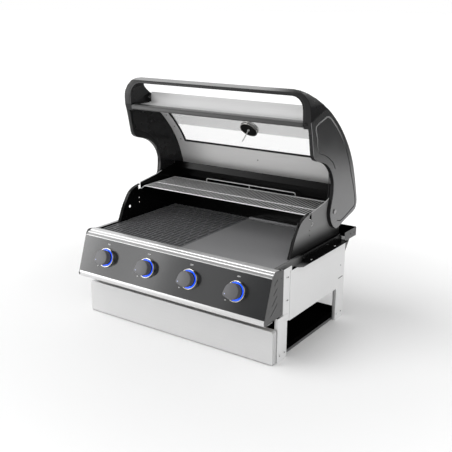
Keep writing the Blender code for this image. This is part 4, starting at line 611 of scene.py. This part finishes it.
def makeTrim(name, points, distance, material, *replaced):
    shape = bmesh.new()
    addPlate(shape, [bandOf(shifted(points), distance)], "X", -trims["halfWidth"], trims["halfWidth"])
    settle(name, shape, material, "grill_body", replaced, angle=24)


# the band is painted shade: a darker strip laid along the groove of the top trim
makeTrim("trimBand", trims["topLine"][3:8], -trims["bandLift"], "trimShade")
makeTrim("fasciaTopTrim", trims["topLine"], trims["thickness"], "brightTrim", "fascia_top_trim")
makeTrim("fasciaLowTrim", trims["lowLine"], -trims["thickness"], "brightTrim", "fascia_bottom_trim")


def fasciaPlace(x, rise, out=0.0):  # a point on the fascia's face, and its turn
    point = fasciaBottom + slopeUp * rise + slopeOut * out + Vector((x, 0, 0))
    turn = Matrix(((1, 0, 0), slopeUp, slopeOut)).transposed().to_4x4()
    return Matrix.Translation(point) @ turn


prints = {
    "offSize": 0.0078, "offRise": 0.1205, "offShift": -0.0085, "lift": 0.00012, "thickness": 0.00006,
    "tickPlace": (-0.0385, 0.0350), "tickLength": 0.0052, "tickWidth": 0.0009, "tickTurns": (0, 60, 120),
}


def makePrints():
    shape = bmesh.new()
    letters = bpy.data.curves.new("offLetters", "FONT")
    letters.body = "OFF"
    letters.size = prints["offSize"]
    letters.extrude = prints["thickness"]
    holder = placed("offLetters", letters)
    bpy.context.view_layer.update()
    flat = bpy.data.meshes.new_from_object(holder.evaluated_get(bpy.context.evaluated_depsgraph_get()))
    tick = Vector((prints["tickLength"] / 2, prints["tickWidth"] / 2, prints["thickness"]))
    for x in knobPlaces:
        before = len(shape.verts)
        shape.from_mesh(flat)
        place = fasciaPlace(x + prints["offShift"], prints["offRise"], prints["lift"])
        bmesh.ops.transform(shape, matrix=place, verts=shape.verts[before:])
        spot = fasciaPlace(x + prints["tickPlace"][0], prints["tickPlace"][1], prints["lift"])
        for turn in prints["tickTurns"]:
            bar = addBox(shape, -tick, tick)
            bmesh.ops.transform(shape, matrix=spot @ Matrix.Rotation(radians(turn), 4, "Z"), verts=bar)
    bpy.data.objects.remove(holder)
    settle("fasciaPrints", shape, "printWhite", "grill_body")


makePrints()
print("fascia finished")


# controls: bezel, ring of light, knob

control = {
    "bezel": ((0.0368, 0.0003), (0.0318, 0.0003), (0.0318, 0.0072), (0.0322, 0.0088), (0.0332, 0.0098),
              (0.0343, 0.0100), (0.0354, 0.0098), (0.0364, 0.0088), (0.0368, 0.0072), (0.0368, 0.0003)),
    "ring": ((0.0315, 0.0003), (0.0263, 0.0003), (0.0263, 0.0042), (0.0315, 0.0046), (0.0315, 0.0003)),
    "skirt": ((0, 0.0092), (0.0256, 0.0092), (0.0262, 0.0098), (0.0262, 0.0180), (0, 0.0180)),
    "radius": 0.0282, "nose": 0.0362, "noseRadius": 0.0095, "neck": 0.0148, "top": 0.0354, "edge": 0.0024,
    "restTurn": 118, "dotPlace": 0.0270, "dotRadius": 0.0014, "dotDeep": 0.0002, "dotLift": 0.00008,
    "near": 0.0001,
}


def knobOutline():  # a drop: the big round, then the nose
    rise = control["radius"] - control["noseRadius"]
    reach = control["nose"] - control["noseRadius"]
    lean = degrees(pi / 2) - degrees(atan2((reach ** 2 - rise ** 2) ** 0.5, rise))
    return (arcLine((0, 0), control["radius"], 180 - lean, 360 + lean, 56)
            + arcLine((0, reach), control["noseRadius"], lean, 180 - lean, 14))


def makeControl(number, x):
    seat = fasciaPlace(x, knobRise)
    turned = seat @ Matrix.Rotation(radians(control["restTurn"]), 4, "Z")
    for part, material, slotName, node in (("bezel", "brightChrome", "chrome", "control_bezel"),
                                           ("ring", "ledBlue", "led_blue", "led_ring")):
        shape = bmesh.new()
        addTurned(shape, control[part], seat, 72)
        settle(f"{part}{number}", shape, material, "grill_body", (f"{node}_{number}",), angle=50)
    shape = bmesh.new()
    top = control["top"]
    addPlate(shape, [knobOutline()], "Z", control["neck"], top)
    bmesh.ops.recalc_face_normals(shape, faces=shape.faces)
    rim = [edge for edge in shape.edges if all(vertex.co.z > top - control["near"] for vertex in edge.verts)
           and edge.calc_face_angle(0) > 1]
    bmesh.ops.bevel(shape, geom=rim, offset=control["edge"], affect="EDGES", segments=4, profile=0.5, material=-1)
    bmesh.ops.transform(shape, matrix=turned, verts=shape.verts)
    for vertex in shape.verts:
        vertex.tag = True
    addTurned(shape, control["skirt"], seat, 56)
    settle(f"knob{number}", shape, "knobGrey", f"control_{number}", (f"knob_{number}",), angle=15)
    shape = bmesh.new()
    start, end = (turned @ Vector((0, control["dotPlace"], height))
                  for height in (top - control["dotDeep"], top + control["dotLift"]))
    addRod(shape, start, end, control["dotRadius"], 16)
    settle(f"knobDot{number}", shape, "pointerDot", f"control_{number}")


for number, x in enumerate(knobPlaces, 1):
    makeControl(number, x)
print("controls finished")


# grill plate and rack

grate = {
    "left": -0.3935, "right": -0.0008, "front": 0.041 + yShift, "back": 0.5085 + yShift,
    "low": 0.3212, "top": 0.3330, "rim": 0.0085, "rimDrop": 0.0010, "columns": 20, "rows": 6,
    "bar": 0.0098, "crown": 0.0064, "shoulder": 0.0030, "tieWidth": 0.0065, "tieDrop": 0.0016, "tieIn": 0.001,
}


def makeGrate():
    left, right, front, back, low, top, rim = (
        grate[name] for name in ("left", "right", "front", "back", "low", "top", "rim"))
    shape = bmesh.new()
    pitch = (right - left - rim) / grate["columns"]
    reach = (back - front - 2 * rim) / grate["rows"]
    half, crown, wide = grate["bar"] / 2, grate["crown"] / 2, grate["tieWidth"] / 2
    for column in range(grate["columns"] + 1):
        middle = left + rim / 2 + column * pitch
        shoulder = top - grate["shoulder"]
        profile = [(middle - half, low), (middle + half, low), (middle + half, shoulder),
                   (middle + crown, top), (middle - crown, top), (middle - half, shoulder)]
        addPlate(shape, [[Vector(point) for point in profile]], "Y", front, back)
        if column == grate["columns"]:
            break
        for row in range(grate["rows"] + 1):
            y = front + rim + (row + 0.5 * (column % 2)) * reach
            if y < back - rim:
                addBox(shape, (middle + half - grate["tieIn"], y - wide, low),
                       (middle + pitch - half + grate["tieIn"], y + wide, top - grate["tieDrop"]))
    for start, end in ((front, front + rim), (back - rim, back)):
        addBox(shape, (left, start, low), (right, end, top - grate["rimDrop"]))
    settle("grillPlate", shape, "castIron", "grill_body", ("grill_plate",))


rack = {
    "half": 0.385, "front": 0.293 + yShift, "back": 0.4985 + yShift, "top": 0.4583, "wire": 0.0019, "frame": 0.0021,
    "wires": 58, "wireDrop": 0.0004, "cross": 0.079, "crossPart": 0.95,
    "hookX": 0.3977, "hookY": 0.2805 + yShift, "hookZ": 0.4470, "hookRun": 0.004, "hookWire": 0.0018,
    "stopEnd": 0.213, "stopTop": 0.4715, "stopBend": 0.007, "stopWire": 0.0018, "stopPost": 0.0014,
}


def makeRack():
    thick = rack["frame"]
    middle = rack["top"] - thick
    inner = rack["half"] - thick
    front, back = rack["front"] + thick, rack["back"] - thick
    shape = bmesh.new()
    for number in range(rack["wires"]):
        x = -rack["half"] + 2 * thick + (2 * rack["half"] - 4 * thick) * (number + 0.5) / rack["wires"]
        height = middle - rack["wireDrop"]
        addRod(shape, (x, front, height), (x, back, height), rack["wire"], 8)
    settle("rackWires", shape, "rackWire", "grill_body", ("warming_rack",), angle=60)
    shape = bmesh.new()
    corners = [(-inner, front, middle), (inner, front, middle), (inner, back, middle), (-inner, back, middle)]
    for start, end in zip(corners, corners[1:] + corners[:1]):
        addRod(shape, start, end, thick)
    cross = rack["front"] + rack["cross"]
    addRod(shape, (-inner, cross, middle), (inner, cross, middle), thick * rack["crossPart"])
    for sign in (-1, 1):
        run, y, z = rack["hookRun"], rack["hookY"], rack["hookZ"]
        hook = bendLine([(sign * rack["hookX"], y, z), (sign * (rack["half"] + run), y, z),
                         (sign * (rack["half"] - run), front, middle)], run)
        addTube(shape, hook, rack["hookWire"], 10)
    end, top = rack["stopEnd"], rack["stopTop"]
    stop = bendLine([(-end, back, middle), (-end, back, top), (end, back, top), (end, back, middle)], rack["stopBend"])
    addTube(shape, stop, rack["stopWire"], 10)
    addRod(shape, (0, back, middle), (0, back, top), rack["stopPost"], 8)
    settle("rackFrame", shape, "rackBright", "grill_body", angle=60)


makeGrate()
makeRack()
print("grates and rack finished")


# hood caps, window, handle and thermometer

hood = {
    "backCurve": ((-0.2225, 0.7363), (-0.125, 0.690), (0.0275, 0.601), (0.155, 0.5066), (0.2625, 0.4045),
                  (0.3425, 0.3025), (0.405, 0.1853), (0.4475, 0.0832), (0.4735, 0.0057), (0.4625, -0.0397),
                  (0.425, -0.0624), (0.3325, -0.0813), (0.2775, -0.0917)),
    "earCurve": ((0.2775, -0.0917), (0.1975, -0.1059), (0.0675, -0.1323), (0.005, -0.1140), (-0.0375, -0.0851),
                 (-0.0690, -0.0416), (-0.080, 0.0076), (-0.064, 0.0600), (-0.040, 0.1153), (-0.030, 0.1739),
                 (-0.0425, 0.2268), (-0.0725, 0.276), (-0.130, 0.3251), (-0.195, 0.3592), (-0.2675, 0.3819),
                 (-0.3675, 0.4026), (-0.410, 0.4178), (-0.435, 0.4405), (-0.4525, 0.4915)),
    "frontCurve": ((-0.4525, 0.4915), (-0.480, 0.5917), (-0.5075, 0.6673)),
    "groove": ((0.459, 0.404), (0.492, 0.397), (0.534, 0.407), (0.584, 0.423), (0.6045, 0.4305), (0.609, 0.442),
               (0.594, 0.493), (0.564, 0.557), (0.535, 0.620), (0.495, 0.683), (0.440, 0.742), (0.389, 0.784),
               (0.366, 0.7985), (0.346, 0.803), (0.315, 0.7955), (0.274, 0.7835), (0.266, 0.774), (0.272, 0.755),
               (0.280, 0.733), (0.282, 0.714), (0.286, 0.698), (0.304, 0.682), (0.339, 0.670), (0.379, 0.650),
               (0.408, 0.629), (0.426, 0.606)),
    "innerGroove": ((0.250, 0.785), (0.2515, 0.755), (0.256, 0.723), (0.274, 0.692), (0.314, 0.679), (0.357, 0.658),
                    (0.387, 0.631), (0.405, 0.586), (0.407, 0.540), (0.403, 0.500)),
    "outer": 0.4145, "inner": 0.3995, "rimInner": 0.3815, "rim": 0.008, "rimLow": 0.7730, "pinHole": 0.0055,
    "grooveWidth": 0.0034, "grooveDeep": 0.0022, "beadHalf": 0.0004, "beadDeep": 0.0004, "beadLift": 0.0003,
}
backLine = smoothLine(hoodPoints(hood["backCurve"]))


def makeCap(side, sign):
    front = smoothLine(hoodPoints(hood["frontCurve"]))
    outline = backLine + smoothLine(hoodPoints(hood["earCurve"]))[1:] + front[1:]
    hole = arcLine(hinge, hood["pinHole"], 0, 345, 23)
    outer, inner = sign * hood["outer"], sign * hood["inner"]
    outerSeat = sign * (hood["outer"] - hood["grooveDeep"])   # the grooves' floors
    innerSeat = sign * (hood["inner"] + hood["grooveDeep"])
    half = hood["grooveWidth"] / 2
    middle = smoothLine(shifted(hood["groove"]))
    replaced = ("hood_cap_" + side.lower(),)
    skin = bmesh.new()
    addPlate(skin, [outline, hole, widened(middle, half)], "X", outerSeat, outer)
    settle("hoodCapSkin" + side, skin, "capSkin", "roasting_hood", replaced, bevel=0.0007, angle=50)
    # beads along both edges of the groove, carrying a painted highlight that is pale high up
    bead = bmesh.new()
    for edge in (moveSideways(middle, half), moveSideways(middle, -half)):
        addPlate(bead, [widened(edge, hood["beadHalf"])], "X", sign * (hood["outer"] - hood["beadDeep"]),
                 sign * (hood["outer"] + hood["beadLift"]))
    settle("groovePaintedHighlight" + side, bead, "groovePaintedHighlight", "roasting_hood")
    shape = bmesh.new()
    addPlate(shape, [outline, hole, widened(smoothLine(shifted(hood["innerGroove"])), half)], "X", inner, innerSeat)
    addPlate(shape, [outline, hole], "X", innerSeat, outerSeat)
    for line in (backLine, [point for point in front if point.y > hood["rimLow"]]):
        addPlate(shape, [bandOf(line, hood["rim"])], "X", sign * hood["rimInner"], inner)
    settle("hoodCap" + side, shape, "castBlack", "roasting_hood", replaced, bevel=0.0008, angle=50)


for side, sign in sides:
    makeCap(side.capitalize(), sign)

window = {
    "frameHalf": 0.3992, "openHalf": 0.360, "frameShares": (0.06, 0.73), "openShare": 0.515,
    "frameInset": 0.02590, "sheet": 0.0012, "glassShare": 0.334,
    "lip": 0.0100, "lipShare": 0.017, "lipThickness": 0.0016, "lipOver": 0.002, "lipRise": 0.004,
    "screwShares": (0.105, 0.235, 0.365, 0.495), "screwOut": 0.016, "middleScrew": 0.60,
    "screwRadius": 0.0024, "screwDeep": 0.0004, "screwHigh": 0.0007,
}


def addStrip(shape, start, stop, left, right, inset, thickness):  # a strip of sheet that follows the hood's back
    line = moveSideways(partOf(backLine, start, stop), inset)
    addPlate(shape, [bandOf(line, thickness)], "X", left, right)


def makeInnerFrame():
    low, high = window["frameShares"]
    end, wide, opening = window["openShare"], window["frameHalf"], window["openHalf"]
    shape = bmesh.new()
    for start, stop, left, right in ((low, end, -wide, -opening), (low, end, opening, wide), (end, high, -wide, wide)):
        addStrip(shape, start, stop, left, right, window["frameInset"], window["sheet"])
    settle("hoodInnerFrame", shape, "linerSteel", "roasting_hood", ("hood_inner_frame",), angle=24)


def makeFrameScrews():
    shape = bmesh.new()
    spots = [(share, sign * (window["openHalf"] + window["screwOut"]))
             for share in window["screwShares"] for sign in (-1, 1)]
    for share, x in spots + [(window["middleScrew"], 0)]:
        point, ahead = alongCurve(backLine, share)
        inward = Vector((ahead.y, -ahead.x))
        face = point + inward * (window["frameInset"] + window["sheet"])
        start, stop = face - inward * window["screwDeep"], face + inward * window["screwHigh"]
        addRod(shape, (x, *start), (x, *stop), window["screwRadius"])
    settle("frameScrews", shape, "dialBlack", "roasting_hood")


def makeSealLip():  # the black edge of the seal, seen round the opening
    low, high = window["frameShares"][0], window["openShare"]
    thick = window["lipThickness"]
    inner, outer = window["openHalf"] - window["lip"], window["openHalf"] + window["lipOver"]
    shape = bmesh.new()
    for start, stop, left, right in ((low, high, -outer, -inner), (low, high, inner, outer),
                                     (high - window["lipShare"], high + window["lipRise"], -inner, inner)):
        addStrip(shape, start, stop, left, right, window["frameInset"] - thick, thick)
    settle("sealLip", shape, "sealBlack", "roasting_hood", angle=24)


makeInnerFrame()
makeFrameScrews()
makeSealLip()

handle = {
    "topLean": 0.55, "topLow": 0.885, "topLift": 0.0003,
    "inner": 0.3815, "corner": 0.045, "under": 0.8810, "foot": 0.7985, "away": 0.0085,
    "lineHalf": 0.0011, "lineSpan": (-0.0003, 0.0006),
    "face": ((-0.5075, 0.6673), (-0.5130, 0.7490), (-0.5010, 0.8485)),
}


def makeHandlePaintedHighlight():  # the handle's top faces, with a painted highlight: pale at the left, fading to dark at the right
    def keep(face):
        return face.normal.z >= handle["topLean"] and min(vertex.co.z for vertex in face.verts) >= handle["topLow"]

    def move(vertex):
        vertex.co.z = min(vertex.co.z + handle["topLift"], cadBox[1].z)

    settle("handlePaintedHighlight", skinOf("hood_handle", keep, move), "handlePaintedHighlight", "roasting_hood")


def frontOf(z):  # how far forward the handle's face stands at a height
    points = hoodPoints(handle["face"])
    for low, high in zip(points, points[1:]):
        if z <= high.y:
            break
    return low.x + (high.x - low.x) * (z - low.y) / (high.y - low.y)


def makeHandleLine():  # the dark joint line round the front of the handle
    corner = handle["corner"] + handle["away"]
    reach, top = handle["inner"] + handle["away"], handle["under"] + handle["away"]
    right = [Vector((reach, handle["foot"]))] + arcLine((reach - corner, top - corner), corner, 0, 90, 12)
    path = right + [Vector((-point.x, point.y)) for point in right[::-1]]
    shape = bmesh.new()
    addPlate(shape, [widened(path, handle["lineHalf"])], "Y", *handle["lineSpan"])
    for vertex in shape.verts:
        vertex.co.y += frontOf(vertex.co.z)
    settle("handleLine", shape, "sealBlack", "roasting_hood", angle=24)


makeHandlePaintedHighlight()
makeHandleLine()

gauge = {
    "dial": ((0, -0.0060), (0.0350, -0.0060), (0.0350, -0.0074), (0, -0.0074)),
    "face": ((0, 0.0088), (0.0332, 0.0088), (0.0340, 0.0080), (0.0340, 0.0014), (0, 0.0014)),
    "rim": ((0.0345, -0.0060), (0.0372, -0.0060), (0.0372, -0.0078), (0.0366, -0.0086), (0.0350, -0.0087),
            (0.0345, -0.0080), (0.0345, -0.0060)),
    "collar": ((0.0338, 0.0006), (0.0372, 0.0006), (0.0380, 0.0016), (0.0380, 0.0072), (0.0362, 0.0096),
               (0.0346, 0.0100), (0.0338, 0.0090), (0.0338, 0.0006)),
    "stem": ((0, -0.0059), (0.0046, -0.0059), (0.0046, -0.0119), (0.0022, -0.0125), (0.0022, -0.0660),
             (0, -0.0672)),
    "neck": ((0.0052, 0.0014), (0.0052, -0.0059)),
    "inset": 0.0083,
}


def makeThermometer():
    point, ahead = alongCurve(backLine, window["glassShare"])
    out = Vector((0, -ahead.y, ahead.x))
    face = Vector((0, *point)) - out * gauge["inset"]
    seat = Matrix.Translation(face) @ Matrix.Rotation(atan2(-out.y, out.z), 4, "X")
    for part, material in (("dial", "gaugeBlack"), ("face", "dialBlack"), ("rim", "brightChrome"),
                           ("collar", "brightChrome"), ("stem", "probeSteel")):
        shape = bmesh.new()
        addTurned(shape, gauge[part], seat, 48)
        if part == "stem":
            addTurned(shape, gauge["neck"], seat, 24)
        settle("thermometer" + part.capitalize(), shape, material, "roasting_hood",
               ("hood_thermometer",), angle=40)


makeThermometer()
print("hood finished")


# holes and slots drawn as dark marks, each a thin disc on its sheet's face: painted shade for the unlit inside of each
# opening

holes = {
    "deep": 0.0012, "lift": 0.00005,
    # each row: the sheet's outer face, the radius, then where the holes are
    "rows": ((0.42375, 0.0022, ((0.090, 0.296), (0.091, 0.212))),
             (0.42375, 0.0024, ((0.043, 0.021), (0.078, 0.023), (0.509, 0.024), (0.471, 0.024), (0.490, 0.220))),
             (0.4241, 0.0036, ((0.5643, 0.3267), (0.5957, 0.3242))),
             (0.42375, 0.0024, ((0.044, 0.306), (0.043, 0.190), (-0.008, 0.174)))),
    "slotX": (0.4226, 0.42375), "slotY": (0.4753 + yShift, 0.5112 + yShift), "slotZ": (0.1684, 0.1718),
}


def addPair(shape, acrossX, acrossY, acrossZ):  # the same box on the left and on the right
    for sign in (-1, 1):
        low, high = sorted(sign * x for x in acrossX)
        addBox(shape, (low, acrossY[0], acrossZ[0]), (high, acrossY[1], acrossZ[1]))


def makeHoles():
    shape = bmesh.new()
    for face, radius, spots in holes["rows"]:
        for y, z in spots:
            for sign in (-1, 1):
                addRod(shape, (sign * (face - holes["deep"]), y + yShift, z),
                       (sign * (face + holes["lift"]), y + yShift, z), radius, 16)
    addPair(shape, holes["slotX"], holes["slotY"], holes["slotZ"])   # the short slot in each side panel
    settle("sheetHoleShade", shape, "dialBlack", "grill_body")


capSlotShade = {"outline": ((-0.0300, 0.1900), (0.0320, 0.1900), (0.0320, 0.3080), (0.0020, 0.3080)),
              "depths": (0.0016, 0.0006)}


def makeCapSlotShade():  # a black sheet behind the end caps' slots: painted shade for what the slots look into
    shape = bmesh.new()
    for side, sign in sides:
        low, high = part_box("fascia_end_cap_" + side)
        face = low.x if sign > 0 else high.x
        addPlate(shape, [shifted(capSlotShade["outline"])], "X", *(face - sign * depth for depth in capSlotShade["depths"]))
    settle("capSlotShade", shape, "sealBlack", "grill_body")


channel = {"endDeep": 0.0004, "endLift": 0.0003,
           "webX": (0.4108, 0.4232), "webY": (0.2383, 0.2389), "webZ": (0.3155, 0.3290)}
squareOn = 0.9              # a face looks along X when its normal has more than this of it


def makeChannelEnds():  # the pale end faces of the rear channel
    low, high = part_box("rear_channel")

    def keep(face):
        return (abs(face.normal.x) >= squareOn
                and min(abs(vertex.co.x) for vertex in face.verts) >= high.x - channel["endDeep"])

    def move(vertex):
        vertex.co.x += channel["endLift"] if vertex.co.x > 0 else -channel["endLift"]

    settle("channelEnds", skinOf("rear_channel", keep, move), "endCapGrey", "grill_body")


def makeWebEnds():  # the lit ends of the channel's front web, above the counter flanges
    shape = bmesh.new()
    addPair(shape, channel["webX"], channel["webY"], channel["webZ"])
    settle("webEnds", shape, "paleSheet", "grill_body")


wings = {
    "face": 0.3975, "skinLift": 0.0002,
    "edgeX": 0.3973, "edgeY": (0.0124, 0.165), "edgeLow": 0.470, "edgeWire": 0.0016,
    "hookX": 0.3996, "hookPlace": (0.2895 + yShift, 0.4290), "hookBend": 0.0065, "hookTurns": (-150, 60),
    "hookWire": 0.0013,
}


def makeWingPaintedSheen(side, sign):  # the outer face of the firebox wall, with a painted sheen that lightens it high up
    def keep(face):
        return (face.normal.x * sign >= squareOn
                and min(vertex.co.x * sign for vertex in face.verts) >= wings["face"])

    def move(vertex):
        vertex.co.x += sign * wings["skinLift"]

    settle("wingSheenSkin" + side, skinOf("firebox_side_" + side, keep, move), "wingPaintedSheen", "grill_body")


def makeWingEdgeHighlights():  # a painted highlight along the folded top edge of each wing: a thin pale wire
    shape = bmesh.new()
    low, high = wings["edgeY"]
    for side, sign in sides:
        points = [vertex.co for vertex in frame["nodes"]["firebox_side_" + side].data.vertices]
        ridge = sorted({(round(point.y, 4), round(point.z, 4)) for point in points
                        if point.x * sign > wings["face"] and point.z > wings["edgeLow"] and low < point.y < high})
        addTube(shape, [Vector((sign * wings["edgeX"], y, z)) for y, z in ridge], wings["edgeWire"])
    settle("wingEdgeHighlights", shape, "rackBright", "grill_body")


def makeWingHooks():  # the small hook under the rack's slot
    shape = bmesh.new()
    for sign in (-1, 1):
        bend = arcLine(wings["hookPlace"], wings["hookBend"], *wings["hookTurns"], 14)
        addTube(shape, [Vector((sign * wings["hookX"], *point)) for point in bend], wings["hookWire"])
    settle("wingHooks", shape, "rackBright", "grill_body")


makeHoles()
makeCapSlotShade()
makeChannelEnds()
makeWebEnds()
for side, sign in sides:
    makeWingPaintedSheen(side, sign)
makeWingEdgeHighlights()
makeWingHooks()
print("marks finished")
